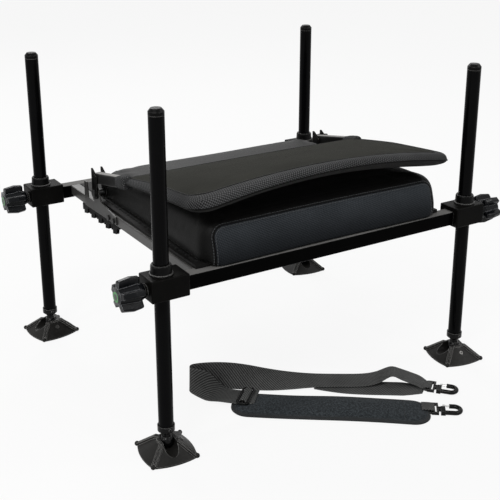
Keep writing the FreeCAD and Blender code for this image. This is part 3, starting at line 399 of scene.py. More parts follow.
looks = dict(
    leg=paintedTube("legPaint", 2, (0.001, 0.001, 0.0012), 0.008, 0.09, 0.04),
    # The tops of the rails, bars and arms are painted paler: a painted sheen.
    rail=paintedTube("railPaint", 0, 0.0004, 0.004, 0.2, 0.012, dustAndPaintedSheen=0.65),
    # The bar and the hinge plates have a paler base than the other black paint: a painted reflection of light
    # on their sides.
    bar=paintedTube("barPaintWithPaintedLight", 1, (0.027, 0.0262, 0.025), (0.06, 0.058, 0.055), 0.32, 0.4, dustAndPaintedSheen=0.1),
    hinge=paintedTube("hingePaintWithPaintedLight", 1, (0.018, 0.0175, 0.0168), (0.044, 0.0425, 0.04), 0.34, 0.3,
                      edge=0.001),
    arm=paintedTube("armPaint", 1, (0.003, 0.003, 0.0029), (0.012, 0.0117, 0.0112), 0.26, 0.12, dustAndPaintedSheen=0.95),
    rack=paintedTube("rackPaint", 1, 0.0008, (0.005, 0.0048, 0.0046), 0.34, 0.03, edge=0.0006),
    fork=paintedTube("forkPaint", 1, 0.001, (0.006, 0.0058, 0.0055), 0.3, 0.04, edge=0.001),
    block=mouldedPlastic("blockSkin", (0.0008, 0.0008, 0.0007), (0.0075, 0.0071, 0.0066), 0.3, 0.03, 1500.0,
                         0.00006),
    bush=mouldedPlastic("bushSkin", 0.001, 0.006, 0.24, 0.06, 1800.0, 0.00004),
    cap=mouldedPlastic("capSkin", 0.001, (0.006, 0.006, 0.0058), 0.24, 0.06, 1700.0, 0.00005),
    # The knob's and the foot's pale edge colours are wear and a painted highlight.
    knob=mouldedPlastic("knobSkin", (0.0012, 0.0014, 0.0018), (0.008, 0.009, 0.011), 0.15, 0.11, 1500.0,
                        0.00005, wornEdgeAndHighlight=(0.24, 0.245, 0.255)),
    foot=mouldedPlastic("footSkin", (0.0045, 0.0043, 0.0041), (0.024, 0.023, 0.021), 0.34, 0.11, 1100.0,
                        0.0001, wornEdgeAndHighlight=(0.26, 0.256, 0.248)),
    ball=mouldedPlastic("ballSkin", (0.001, 0.001, 0.0011), 0.006, 0.14, 0.12, 1600.0, 0.00004),
    clip=mouldedPlastic("clipSkin", (0.001, 0.001, 0.0011), 0.006, 0.2, 0.12, 1900.0, 0.00004,
                        edge=0.0012),
    disc=ringedDisc("discPrint"),
    screw=brightSteel("screwSteel", (0.16, 0.155, 0.15), (0.08, 0.078, 0.075), 0.3, (900.0, 900.0, 60.0)),
    bolt=brightSteel("boltSteel", 0.05, 0.022, 0.34, (60.0, 900.0, 900.0)),
    stud=brightSteel("studSteel", (0.5, 0.49, 0.48), (0.28, 0.27, 0.26), 0.26, (60.0, 700.0, 700.0)),
    gate=brightSteel("gateSteel", (0.74, 0.74, 0.73), (0.48, 0.48, 0.47), 0.22, (400.0, 400.0, 900.0)),
    board=boardGrain("boardPaint"),
    leather=leatherCloth("seatLeather", 0.0012, (0.0075, 0.0075, 0.0073), 0.38, 0.08),
    piping=leatherCloth("seamPiping", 0.0006, 0.003, 0.38, 0.05),
    # The front twill is painted darker towards its bottom, a painted shade.
    twill=wovenCloth("frontTwill", (0.0016, 0.0022, 0.003), (0.062, 0.07, 0.079), 0.0046, 0.52, 0.04,
                     0.015, 0.00045, slant=0.35, foot=(0.306, 0.38)),
    weave=wovenCloth("backWeave", (0.006, 0.006, 0.0052), (0.04, 0.04, 0.0345), 0.002, 0.66, 0.012,
                     0.004, 0.00024),
    mesh=wovenCloth("gussetMesh", (0.0004, 0.0004, 0.0005), (0.19, 0.192, 0.195), 0.005, 0.6, 0.01,
                    0.004, 0.0011, slant=0.25, fleck=0.1, bite=2.4),
    lining=wovenCloth("lowerCloth", (0.008, 0.008, 0.0078), (0.03, 0.03, 0.029), 0.002, 0.68, 0.04,
                      0.02, 0.0002),
    binding=wovenCloth("edgeTape", (0.008, 0.0088, 0.0096), (0.026, 0.028, 0.029), 0.0016, 0.6, 0.14,
                       0.06, 0.0002),
    hem=feltCloth("hemTape", 0.0008, (0.007, 0.007, 0.0068)),
    felt=feltCloth("strapFelt", (0.0044, 0.0058, 0.0068), (0.056, 0.065, 0.072)),
    web=ribbedWeb("strapWeb", (0.006, 0.006, 0.0059), (0.15, 0.152, 0.149)),
    # The seat's thread is a paler copy of the dark thread: a painted highlight on the seam's ridges.
    thread=twistedThread("seamThreadWithPaintedHighlight", (0.026, 0.028, 0.03), (0.088, 0.092, 0.096)),
    darkThread=twistedThread("darkThread", 0.005, 0.022),
)

# The finish of each kind of node, by how its name starts. The longest start counts.
nodeLooks = {
    "corner_block": "block", "leg_bushes": "bush", "leg": "leg", "leg_cap": "cap", "ball_stud": "ball",
    "foot": "foot", "foot_screw": "screw", "knob": "knob", "knob_stud": "stud", "knob_disc": "disc",
    "rail": "rail", "cross_bar": "bar", "seat_board": "board", "cushion_base": "board",
    "hinge_plate": "hinge", "hinge_fork": "fork", "hinge_bolts": "bolt", "backrest_arm": "arm",
    "recline_rack": "rack", "snap_hook": "clip", "hook_gates": "gate",
}


def dressNodes():
    dressed = 0
    for name, node in nodes.items():
        starts = [start for start in nodeLooks if name.startswith(start)]
        for place in node.material_slots if starts else ():
            place.material = looks[nodeLooks[max(starts, key=len)]]
        dressed += bool(starts)
    print("finishes:", len(looks), "on", dressed, "nodes")


def makePiece(name, points, faces, finishes, faceFinish=None, weave=None):
    mesh = bpy.data.meshes.new(name)
    mesh.from_pydata([tuple(map(float, p)) for p in points], [], [tuple(map(int, f)) for f in faces])
    for finish in finishes:
        mesh.materials.append(looks[finish])
    if faceFinish is not None:
        mesh.polygons.foreach_set("material_index", list(map(int, faceFinish)))
    mesh.polygons.foreach_set("use_smooth", [True] * len(mesh.polygons))
    if weave is not None:
        layer = mesh.uv_layers.new(name="weave")
        layer.data.foreach_set("uv", np.asarray(weave, float).ravel())
    mesh.update()
    piece = bpy.data.objects.new(name, mesh)
    scene.collection.objects.link(piece)
    return piece


def unit(vectors):
    vectors = np.asarray(vectors, float)
    return vectors / np.maximum(np.linalg.norm(vectors, axis=-1, keepdims=True), 1e-12)


def tangents(line, closed=False):
    if closed:
        return unit(np.roll(line, -1, 0) - np.roll(line, 1, 0))
    return unit(np.gradient(line, axis=0))


def lengths(line):
    return np.concatenate([[0.0], np.cumsum(np.linalg.norm(np.diff(line, axis=0), axis=1))])


# Quads between rings of points that follow each other.
def ringQuads(rows, around, closed=False):
    quads = []
    for i in range(rows if closed else rows - 1):
        a, b = i * around, (i + 1) % rows * around
        quads += [(a + k, a + (k + 1) % around, b + (k + 1) % around, b + k) for k in range(around)]
    return quads


# The corners of such quads on the cloth.
def ringWeave(around, along):
    return [corner for a, b in zip(along, along[1:]) for c, d in zip(around, around[1:])
            for corner in ((c, a), (d, a), (d, b), (c, b))]


# Points and faces of a round bar along a line, with closed ends or closed on itself.
def rod(line, up, radius, around=8, closed=False, flat=1.0):
    line, up = np.asarray(line, float), np.asarray(up, float)
    ahead = tangents(line, closed)
    across = unit(np.cross(ahead, up))
    lift = np.cross(across, ahead)
    turn = np.arange(around) * 2 * math.pi / around
    size = np.broadcast_to(np.asarray(radius, float), (len(line),))[:, None, None]
    ring = across[:, None] * np.cos(turn)[None, :, None] + lift[:, None] * np.sin(turn)[None, :, None] * flat
    points = (line[:, None] + ring * size).reshape(-1, 3)
    faces = ringQuads(len(line), around, closed)
    if not closed:
        first = range(around)
        faces += [tuple(first)[::-1], tuple((len(line) - 1) * around + k for k in first)]
    return points, faces


def joinParts(parts):
    points, faces = [], []
    for some, those in parts:
        start = sum(len(p) for p in points)
        points.append(some)
        faces += [tuple(i + start for i in face) for face in those]
    return np.concatenate(points), faces


def surfaceTree(piece):
    return BVHTree.FromObject(piece, bpy.context.evaluated_depsgraph_get())


def laid(tree, line):
    places, normals = [], []
    for point in line:
        place, normal, _, _ = tree.find_nearest(Vector(point))
        places.append(place[:])
        normals.append(normal[:])
    return np.array(places), np.array(normals)


def resampled(line, step, closed=False):
    if closed:
        line = np.concatenate([line, line[:1]])
    far = lengths(line)
    count = max(2, int(round(far[-1] / step)))
    at = np.linspace(0, far[-1], count + 1)[:count if closed else count + 1]
    return np.stack([np.interp(at, far, line[:, k]) for k in range(3)], 1)


# One stitch: how many steps of its row it takes, how far it reaches, and how it rises.
sewing = dict(steps=6, reach=1.2, bow=(-0.5, 0.55, 0.8, 0.55, -0.5), around=6)


# A sewn row: short arched stitches that lie on a surface along a line.
def sewRow(tree, line, offset, stitch, closed=False):
    steps = sewing["steps"]
    pitch = stitch["long"] + stitch["gap"]
    share = stitch["long"] / pitch
    bow = np.array(sewing["bow"])[:, None]
    places, normals = laid(tree, resampled(np.asarray(line, float), pitch / steps, closed))
    side = np.cross(tangents(places, closed), normals)
    places, normals = laid(tree, places + side * offset)
    parts = []
    for k in range(0, len(places) - steps + 1, steps):
        first, up = places[k], normals[k + 2]
        reach = (places[k + steps - 1] - first) * share * sewing["reach"]
        middle = first + reach * np.linspace(0, 1, len(bow))[:, None] + up * bow * stitch["thick"]
        parts.append(rod(middle, np.repeat([up], len(bow), 0), stitch["thick"], sewing["around"]))
    return parts


# A closed rounded outline seen from above, from the front left corner round to it again.
def rim(left, right, front, back, frontRound, backRound, across, deep, draw=0.0):
    turns = [(225, frontRound), (315, frontRound), (45, backRound), (135, backRound)]
    spots = [(left + frontRound, front + frontRound), (right - frontRound, front + frontRound),
             (right - backRound, back - backRound), (left + backRound, back - backRound)]
    line = []
    for k, count in enumerate((across, deep, across, deep)):
        (startTurn, startRound), (_, endRound) = turns[k], turns[(k + 1) % 4]
        first, last = np.array(spots[k]), np.array(spots[(k + 1) % 4])
        out = np.array([math.cos(math.radians(startTurn + 45)), math.sin(math.radians(startTurn + 45))])
        a, b = first + out * startRound, last + out * endRound
        bends = (startRound * math.pi / 4, float(np.linalg.norm(b - a)), endRound * math.pi / 4)
        whole = sum(bends)
        for i in range(count):
            far = i / count * whole
            inward = -out * draw * math.sin(math.pi * i / count) ** 2
            if far < bends[0]:
                turn = math.radians(startTurn + far / startRound * 180 / math.pi)
                spot = first + startRound * np.array([math.cos(turn), math.sin(turn)])
            elif far <= bends[0] + bends[1]:
                spot = a + (b - a) * (far - bends[0]) / bends[1]
            else:
                turn = math.radians(startTurn + 45 + (far - bends[0] - bends[1]) / endRound * 180 / math.pi)
                spot = last + endRound * np.array([math.cos(turn), math.sin(turn)])
            line.append(spot + inward)
    return np.array(line)


# How far inside a rounded outline a place is.
def inside(x, y, left, right, front, back, frontRound, backRound):
    cx, cy = (left + right) / 2, (front + back) / 2
    r = np.where(y < cy, frontRound, backRound)
    qx = np.abs(x - cx) - (right - left) / 2 + r
    qy = np.abs(y - cy) - (back - front) / 2 + r
    return -(np.hypot(np.maximum(qx, 0), np.maximum(qy, 0)) + np.minimum(np.maximum(qx, qy), 0) - r)


# Fills a rim with a grid that follows its rounded corners.
def fill(line, across, deep):
    count = len(line)
    u = np.linspace(0, 1, across + 1)[None, :, None]
    v = np.linspace(0, 1, deep + 1)[:, None, None]
    front = line[:across + 1][None]
    right = line[[(across + j) % count for j in range(deep + 1)]][:, None]
    back = line[[(2 * across + deep - i) % count for i in range(across + 1)]][None]
    left = line[[(count - j) % count for j in range(deep + 1)]][:, None]
    grid = (1 - v) * front + v * back + (1 - u) * left + u * right
    return grid - ((1 - u) * (1 - v) * front[:, :1] + u * (1 - v) * front[:, -1:]
                   + (1 - u) * v * back[:, :1] + u * v * back[:, -1:])


# A closed soft form: rings from the lower rim to the upper one, and a filled grid above and below.
def softShell(name, rings, across, deep, lowerAt, upperAt, finishes, ringFinish, lowerFinish, upperFinish):
    count = 2 * (across + deep)
    points = [np.asarray(ring, float) for ring in rings]
    last, total = len(rings) - 1, len(rings) * count
    steps = [float(np.median(np.linalg.norm(b - a, axis=1))) for a, b in zip(points, points[1:])]
    widest = points[len(points) // 2]
    around = lengths(np.concatenate([widest, widest[:1]]))
    faces = ringQuads(len(rings), count)
    finish = list(np.repeat(ringFinish, count))
    weave = ringWeave(around, np.concatenate([[0.0], np.cumsum(steps)]))
    for ringIndex, at, mark, order in ((last, upperAt, upperFinish, 1), (0, lowerAt, lowerFinish, -1)):
        grid = fill(points[ringIndex][:, :2], across, deep)
        inner = grid[1:-1, 1:-1].reshape(-1, 2)
        edge = ringIndex * count + np.arange(count + 1) % count
        index = np.zeros((deep + 1, across + 1), int)
        index[1:-1, 1:-1] = total + np.arange(len(inner)).reshape(deep - 1, across - 1)
        index[0], index[:, across] = edge[:across + 1], edge[across:across + deep + 1]
        index[deep] = edge[across + deep:2 * across + deep + 1][::-1]
        index[:, 0] = edge[2 * across + deep:][::-1]
        points.append(np.array([(x, y, at(x, y)) for x, y in inner]))
        total += len(inner)
        for j in range(deep):
            for i in range(across):
                quad = [(i, j), (i + 1, j), (i + 1, j + 1), (i, j + 1)][::order]
                faces.append(tuple(index[b, a] for a, b in quad))
                finish.append(mark)
                weave += [tuple(grid[b, a]) for a, b in quad]
    return makePiece(name, np.concatenate(points), faces, finishes, finish, weave)


def pointsOf(piece):
    flat = np.zeros(len(piece.data.vertices) * 3)
    piece.data.vertices.foreach_get("co", flat)
    return flat.reshape(-1, 3)


def setPoints(piece, points):
    piece.data.vertices.foreach_set("co", np.asarray(points, float).ravel())
    piece.data.update()


clothSet = dict(quality=5, mass=0.3, stiff=20, shear=8, bend=1.0, frames=20)


# A short cloth simulation blows the cover up between the points that are held.
def inflate(piece, held, puff):
    before = pointsOf(piece)
    pins = piece.vertex_groups.new(name="held")
    pins.add([int(i) for i in held], 1.0, "REPLACE")
    cloth = piece.modifiers.new("cloth", "CLOTH")
    kit = cloth.settings
    kit.quality, kit.mass = clothSet["quality"], clothSet["mass"]
    kit.tension_stiffness = kit.compression_stiffness = clothSet["stiff"]
    kit.shear_stiffness, kit.bending_stiffness = clothSet["shear"], clothSet["bend"]
    kit.use_pressure, kit.uniform_pressure_force = True, puff["pressure"]
    kit.effector_weights.gravity = 0
    kit.vertex_group_mass = "held"
    for number in range(1, clothSet["frames"] + 1):
        scene.frame_set(number)
    done = piece.evaluated_get(bpy.context.evaluated_depsgraph_get())
    flat = np.zeros(len(before) * 3)
    done.data.vertices.foreach_get("co", flat)
    piece.modifiers.remove(cloth)
    piece.vertex_groups.remove(pins)
    scene.frame_set(1)
    move = flat.reshape(-1, 3) - before
    far = np.linalg.norm(move, axis=1, keepdims=True)
    move *= np.minimum(1.0, puff["cap"] / np.maximum(far, 1e-9))
    setPoints(piece, before + move)
    print(piece.name, "puffed by up to", round(float(far.max()) * 1000, 1), "mm, held to", puff["cap"] * 1000)


def smoothSkin(piece, levels=1):
    skin = piece.modifiers.new("skin", "SUBSURF")
    skin.levels = skin.render_levels = levels


def finishPiece(piece, body, replaced=()):
    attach(piece, body)
    if replaced:
        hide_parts(*replaced)
    return piece


# Parts joined to one mesh, which rides on a body.
def joinedPiece(name, parts, finish, body, replaced=()):
    points, faces = joinParts(parts)
    return finishPiece(makePiece(name, points, faces, [finish]), body, replaced)


strap = dict(
    width=0.048, thick=0.0018,
    # places in millimetres, each with the direction across the band
    longRoute=[
        ((-106, -206, 9.8), (0.7, 0.71, 0)), ((-125, -197, 9.8), (0.74, 0.67, 0)),
        ((-142, -182, 9.8), (0.8, 0.6, 0)), ((-153, -167, 8.6), (0.8, 0.6, 0)),
        ((-162, -150, 7.6), (0.82, 0.53, 0.2)), ((-171.4, -135.2, 17.8), (0.669, 0.327, 0.669)),
        ((-183.5, -126, 24.0), (0.318, 0.127, 0.94)), ((-191.5, -115, 24.9), (0.087, 0, 0.996)),
        ((-189, -105.5, 24.9), (0.02, 0.02, 1)), ((-180, -102, 24.9), (0.02, 0.06, 0.998)),
        ((-153.4, -113.9, 24.3), (0.148, 0.213, 0.966)), ((-120.7, -130.8, 21.8), (0.318, 0.424, 0.848)),
        ((-90.7, -148.1, 17.6), (0.446, 0.594, 0.669)), ((-61.9, -167.3, 13.6), (0.381, 0.779, 0.5)),
        ((-25.3, -183.4, 8.0), (0.444, 0.86, 0.259)), ((19, -204.8, 5.2), (0.457, 0.885, 0.03)),
        ((62, -229, 4.0), (0.56, 0.83, 0)), ((101, -254, 4.4), (0.52, 0.85, 0)),
        ((126, -263, 7.6), (0.52, 0.85, -0.06)), ((138, -267, 13.5), (0.52, 0.84, -0.12)),
        ((147, -278, 22.5), (0.59, 0.8, -0.12)), ((157, -290, 18.0), (0.6, 0.8, -0.05)),
        ((172, -300, 11.0), (0.62, 0.78, -0.05)), ((184, -315, 6.6), (0.8, 0.6, 0)),
        ((186.4, -332.8, 3.4), (0.77, 0.64, 0)),
    ],
    shortRoute=[
        ((176, -335, 1.4), (0.8, 0.6, 0)), ((150, -316, 1.4), (0.6, 0.8, 0)),
        ((118, -294, 1.4), (0.56, 0.83, 0)), ((80, -268, 1.4), (0.55, 0.835, 0)),
        ((46, -240, 1.4), (0.57, 0.82, 0)), ((20, -207, 1.4), (0.6, 0.8, 0)),
    ],
    gatherFrom=0.04, gatherTo=0.6, gatherPower=0.8,
    upperHook=((0.187, -0.3335, 0.0049), -50), lowerHook=((0.1382, -0.3958, 0.0049), -38),
    # round a hook's ring, in millimetres: along the hook and over its middle
    loopPath=[(-12, -2.2), (-5, -3.1), (0, -3.5), (4.2, -3.2), (6.4, -1.0), (6.4, 1.2), (4.4, 3.6), (0, 4.2),
              (-5, 2.6), (-13, -0.6)],
    tabPath=[(-17, 4.4), (-12, 4.8), (-6, 4.8), (0, 4.6), (4.6, 3.8), (6.4, 1.2), (6.4, -1.2), (4.4, -3.2),
             (0.4, -3.6), (-3, -2.6)],
    loopWide=0.026, tabWide=0.0255, ringThick=0.0017,
)


# The points of a smooth spline through the given control points.
def splinePoints(name, controls):
    curve = bpy.data.curves.new(name, "CURVE")
    curve.dimensions, curve.resolution_u = "3D", 10
    spline = curve.splines.new("NURBS")
    spline.points.add(len(controls) - 1)
    for place, control in zip(spline.points, controls):
        place.co = (*control, 1.0)
    spline.order_u = 3
    spline.use_endpoint_u = True
    holder = bpy.data.objects.new(name, curve)
    scene.collection.objects.link(holder)
    mesh = bpy.data.meshes.new_from_object(holder)
    line = np.array([v.co[:] for v in mesh.vertices])
    bpy.data.objects.remove(holder)
    bpy.data.curves.remove(curve)
    bpy.data.meshes.remove(mesh)
    return line


# Across a band, as shares: where its edge turns and its flat part ends, and how thick it is there.
bandEdge = dict(columns=9, turns=0.965, flat=0.88, outer=0.3, edge=0.95, middle=0.8)


# A flat woven band: half is its half width as a vector at each point of the line.
def band(name, line, half, thick):
    b = bandEdge
    lift = unit(np.cross(half, tangents(line))) * thick / 2
    flat = np.linspace(-b["flat"], b["flat"], b["columns"])
    share = np.concatenate([[-1, -b["turns"]], flat, [b["turns"], 1]])
    selvedge = [b["outer"], b["edge"]]
    swell = np.concatenate([selvedge, np.full(len(flat), b["middle"]), selvedge[::-1]])
    across, rise = half[:, None] * share[None, :, None], lift[:, None] * swell[None, :, None]
    over, under = line[:, None] + across + rise, line[:, None] + across - rise
    loop = np.concatenate([over, under[:, ::-1]], 1)
    count, around = loop.shape[:2]
    far = lengths(line)
    reach = np.linalg.norm(half, axis=1)
    place = np.concatenate([share, share[::-1]])
    faces, weave = [], []
    for i in range(count - 1):
        for k in range(around):
            m = (k + 1) % around
            faces.append((i * around + k, (i + 1) * around + k, (i + 1) * around + m, i * around + m))
            weave += [(far[i], place[k] * reach[i]), (far[i + 1], place[k] * reach[i + 1]),
                      (far[i + 1], place[m] * reach[i + 1]), (far[i], place[m] * reach[i])]
    for i, order in ((0, 1), (count - 1, -1)):
        first, last = i * around, (i + 1) * around - 1
        for k in range(len(share) - 1):
            quad = [first + k, first + k + 1, last - 1 - k, last - k][::order]
            faces.append(tuple(quad))
            weave += [(far[i], place[q % around] * reach[i]) for q in quad]
    return makePiece(name, loop.reshape(-1, 3), faces, ["web"], None, weave)


# A share that rises from 0 to 1 over a length.
def ramp(value, over):
    return np.clip(value / over, 0, 1)


# The line and half widths of a route: the band narrows towards the end that goes through a hook.
def routeBand(name, route, hookFirst=False):
    middle = np.array([p for p, _ in route]) / 1000
    wide = unit(np.array([a for _, a in route])) * strap["width"] / 2
    line = splinePoints(name, middle)
    half = unit(splinePoints(name, middle + wide) - splinePoints(name, middle - wide)) * strap["width"] / 2
    far = lengths(line)
    gather = ramp(far if hookFirst else far[-1] - far, strap["gatherFrom"])
    narrow = strap["gatherTo"] + (1 - strap["gatherTo"]) * gather ** strap["gatherPower"]
    return line, half * narrow[:, None]


# Moves points to a place, which has a turn in degrees about z.
def placed(place, points):
    (x, y, z), turn = place
    c, s = math.cos(math.radians(turn)), math.sin(math.radians(turn))
    px, py, pz = np.asarray(points, float).T
    return np.stack([x + px * c - py * s, y + px * s + py * c, z + pz], 1)


# The half widths of a band that runs straight through such a place.
def crosswise(place, count, half):
    turn = math.radians(place[1])
    return np.repeat([[-math.sin(turn), math.cos(turn), 0.0]], count, 0) * half


def ringBand(name, hook, path, wide):
    line = splinePoints(name, placed(hook, [(x / 1000, 0.0, z / 1000) for x, z in path]))
    piece = band(name, line, crosswise(hook, len(line), wide / 2), strap["ringThick"])
    return finishPiece(piece, "frame")


def makeStrap():
    line, half = routeBand("longRoute", strap["longRoute"])
    longWeb = band("strapWebLong", line, half, strap["thick"])
    finishPiece(longWeb, "frame", ["strap_webbing"])
    shortLine, shortHalf = routeBand("shortRoute", strap["shortRoute"], hookFirst=True)
    shortWeb = finishPiece(band("strapWebShort", shortLine, shortHalf, strap["thick"]), "frame")
    loop = ringBand("strapWebLoop", strap["upperHook"], strap["loopPath"], strap["loopWide"])
    buckle = makeBuckle()


# The middle bar's sizes are shares of the frame's bar. The hump is the webbing that goes over it.
slider = dict(place=((-0.124, -0.197, 0.0109), -47), long=0.024, wide=0.058, thick=0.004, bar=0.0046,
              round=0.0045, across=10, deep=22, around=10, barEnd=0.6, barShare=0.42, barLift=0.0004,
              barSteps=12, humpHalf=0.0062, humpLow=0.0006, humpHigh=0.0058, humpPower=0.8, humpSteps=15,
              webHalf=0.0225)


# The slider: a rounded frame, its middle bar and the webbing that goes over the bar.
def makeBuckle():
    s = slider
    bar, thick = s["bar"], s["thick"]
    long, wide = (s["long"] - bar) / 2, (s["wide"] - bar) / 2
    outline = rim(-long, long, -wide, wide, s["round"], s["round"], s["across"], s["deep"])
    ring = np.concatenate([outline, np.full((len(outline), 1), thick / 2)], 1)
    end = s["wide"] / 2 - bar * s["barEnd"]
    middle = [(0.0, y, thick / 2 + s["barLift"]) for y in np.linspace(-end, end, s["barSteps"])]
    up = [[0.0, 0.0, 1.0]]
    parts = [rod(ring, np.repeat(up, len(ring), 0), bar / 2, s["around"], closed=True, flat=thick / bar),
             rod(middle, np.repeat(up, len(middle), 0), bar * s["barShare"], s["around"])]
    parts = [(placed(s["place"], points), faces) for points, faces in parts]
    piece = joinedPiece("sliderFrame", parts, "clip", "frame", ["slider_buckle"])
    smoothSkin(piece)
    hump = [(-s["humpHalf"] * math.cos(a), 0.0, s["humpLow"] + s["humpHigh"] * math.sin(a) ** s["humpPower"])
            for a in np.linspace(0, math.pi, s["humpSteps"])]
    line = placed(s["place"], hump)
    over = band("sliderWeb", line, crosswise(s["place"], len(line), s["webHalf"]), strap["thick"])
    finishPiece(over, "frame")
    over.parent = piece
    return piece


# Each ring has an inset and a share of the height; the seam's ring is the groove beside the binding.
shoulder = dict(
    long=0.352, wide=0.078, place=((-0.011, -0.2985, 0.0), -37.4), low=0.0003, high=0.0083, round=0.0312,
    roundLoss=0.7, across=96, deep=22, pressure=2.5, cap=0.0018, crown=0.92,
    rings=[(0.0052, 0.0), (0.003, 0.0), (0.0008, 0.12), (0.0, 0.32), (0.0006, 0.52), (0.003, 0.68),
           (0.0036, 0.76), (0.0052, 0.7), (0.0078, 0.79)],
    seamRing=7, wave=0.0012, sway=0.0022, rowIn=0.0022, tab=0.046, tabIn=0.01, tabSteps=30,
    stitch=dict(long=0.0032, gap=0.0012, thick=0.00032),
)


def makeShoulderPad():
    d = shoulder
    half, wide, low = d["long"] / 2, d["wide"] / 2, d["low"]
    rise = d["high"] - low
    across, deep = d["across"], d["deep"]
    count = 2 * (across + deep)

    def ring(inset, share):
        turn = d["round"] - inset * d["roundLoss"]
        line = rim(inset - half, half - inset, inset - wide, wide - inset, turn, turn, across, deep)
        return np.concatenate([line, np.full((len(line), 1), low + rise * share)], 1)

    rings = [ring(*row) for row in d["rings"]]
    finish = [1] * d["seamRing"] + [0]
    pad = softShell("shoulderPad", rings, across, deep, lambda x, y: low,
                    lambda x, y: low + rise * d["crown"], ["felt", "binding"], finish, 0, 0)
    firm = (d["seamRing"] + 1) * count
    under = [v.index for v in pad.data.vertices if v.co.z < low + 1e-5]
    inflate(pad, list(range(firm)) + under, d)
    points = pointsOf(pad)
    x, y, z = points.T.copy()
    wave = np.sin(x * 21 + 0.6) * 0.5 + np.sin(x * 47 + y * 30) * 0.3
    points[:, 2] += (z - low) / rise * wave * d["wave"]
    points[:, 1] += d["sway"] * np.sin(x * 17 + 0.4)
    points = placed(d["place"], points)
    setPoints(pad, points)
    smoothSkin(pad)
    finishPiece(pad, "frame", ["shoulder_pad"])
    tree = surfaceTree(pad)
    parts = sewRow(tree, points[firm - count:firm], -d["rowIn"], d["stitch"], closed=True)
    for end in (-1, 1):
        line = [(end * (half - d["tab"]), y, d["high"])
                for y in np.linspace(d["tabIn"] - wide, wide - d["tabIn"], d["tabSteps"])]
        parts += sewRow(tree, placed(d["place"], line), 0.0, d["stitch"])
    joinedPiece("shoulderStitches", parts, "darkThread", "frame")
    ringBand("shoulderTab", strap["lowerHook"], strap["tabPath"], strap["tabWide"])
    print("shoulder pad made,", len(points), "points")


# Each row of the cover has an inset and a share of the height.
cushion = dict(
    foot=0.3155, front=-0.267, back=0.155, middle=0.004, half=0.246, backHalf=0.237, height=0.069,
    backHeight=0.048, round=0.03, draw=0.003, across=120, deep=90, pressure=4.0, cap=0.0028,
    rows=[(0.0046, 0.0), (0.0022, 0.015), (0.0008, 0.06), (0.0002, 0.13), (0.0, 0.21), (0.0001, 0.3),
          (0.0004, 0.39), (0.001, 0.48), (0.0018, 0.57), (0.0029, 0.66), (0.0044, 0.74), (0.0064, 0.815),
          (0.0088, 0.875), (0.0116, 0.925), (0.0148, 0.963), (0.0186, 0.988), (0.0232, 1.0)],
    crown=0.006, crownIn=0.021, crownDeep=0.9, crownPower=0.6, heldUp=0.0012,
    panelHalf=0.226, panelTop=0.0585, panelRound=0.018, panelLow=0.003, panelPuff=0.0014, puffOver=0.01,
    groove=0.0016, grooveWide=0.0036, seamHalf=0.0026, frontDeep=0.016, twillDeep=0.014, twillFacing=-0.3,
    skirt=0.0053, skirtUp=0.012, skirtFrom=-0.2575, skirtOver=0.0015, flare=0.0052, flareUp=0.034,
    rearSeam=0.132, rearSide=0.225, rearDip=0.001, rearWide=0.004, rearLow=0.004, rearHigh=0.047,
    piping=0.001, pipingUp=0.3, pipingStep=0.004, rearPiping=0.8, rearPipingUp=0.0002,
    inFront=-0.45, beside=0.4,
    stitch=dict(long=0.0036, gap=0.0012, thick=0.00055), rowGap=0.0032,
)


def cushionPlace(x, y, share, crown=0.0):
    c = cushion
    along = (y - c["front"]) / (c["back"] - c["front"])
    tall = c["height"] + (c["backHeight"] - c["height"]) * along
    narrow = 1 - (1 - c["backHalf"] / c["half"]) * along
    return c["middle"] * (1 - along) + x * narrow, y, c["foot"] + tall * share + crown


# How far a place on the front is inside the sewn panel.
def panelDepth(x, z):
    half, top, r = cushion["panelHalf"], cushion["panelTop"], cushion["panelRound"]
    qx, qz = np.abs(x - cushion["middle"]) - half + r, z - cushion["foot"] - top + r
    return r - np.hypot(np.maximum(qx, 0), np.maximum(qz, 0)) - np.minimum(np.maximum(qx, qz), 0)


def dent(far, deep, wide):
    return deep * np.exp(-(far / wide) ** 2)


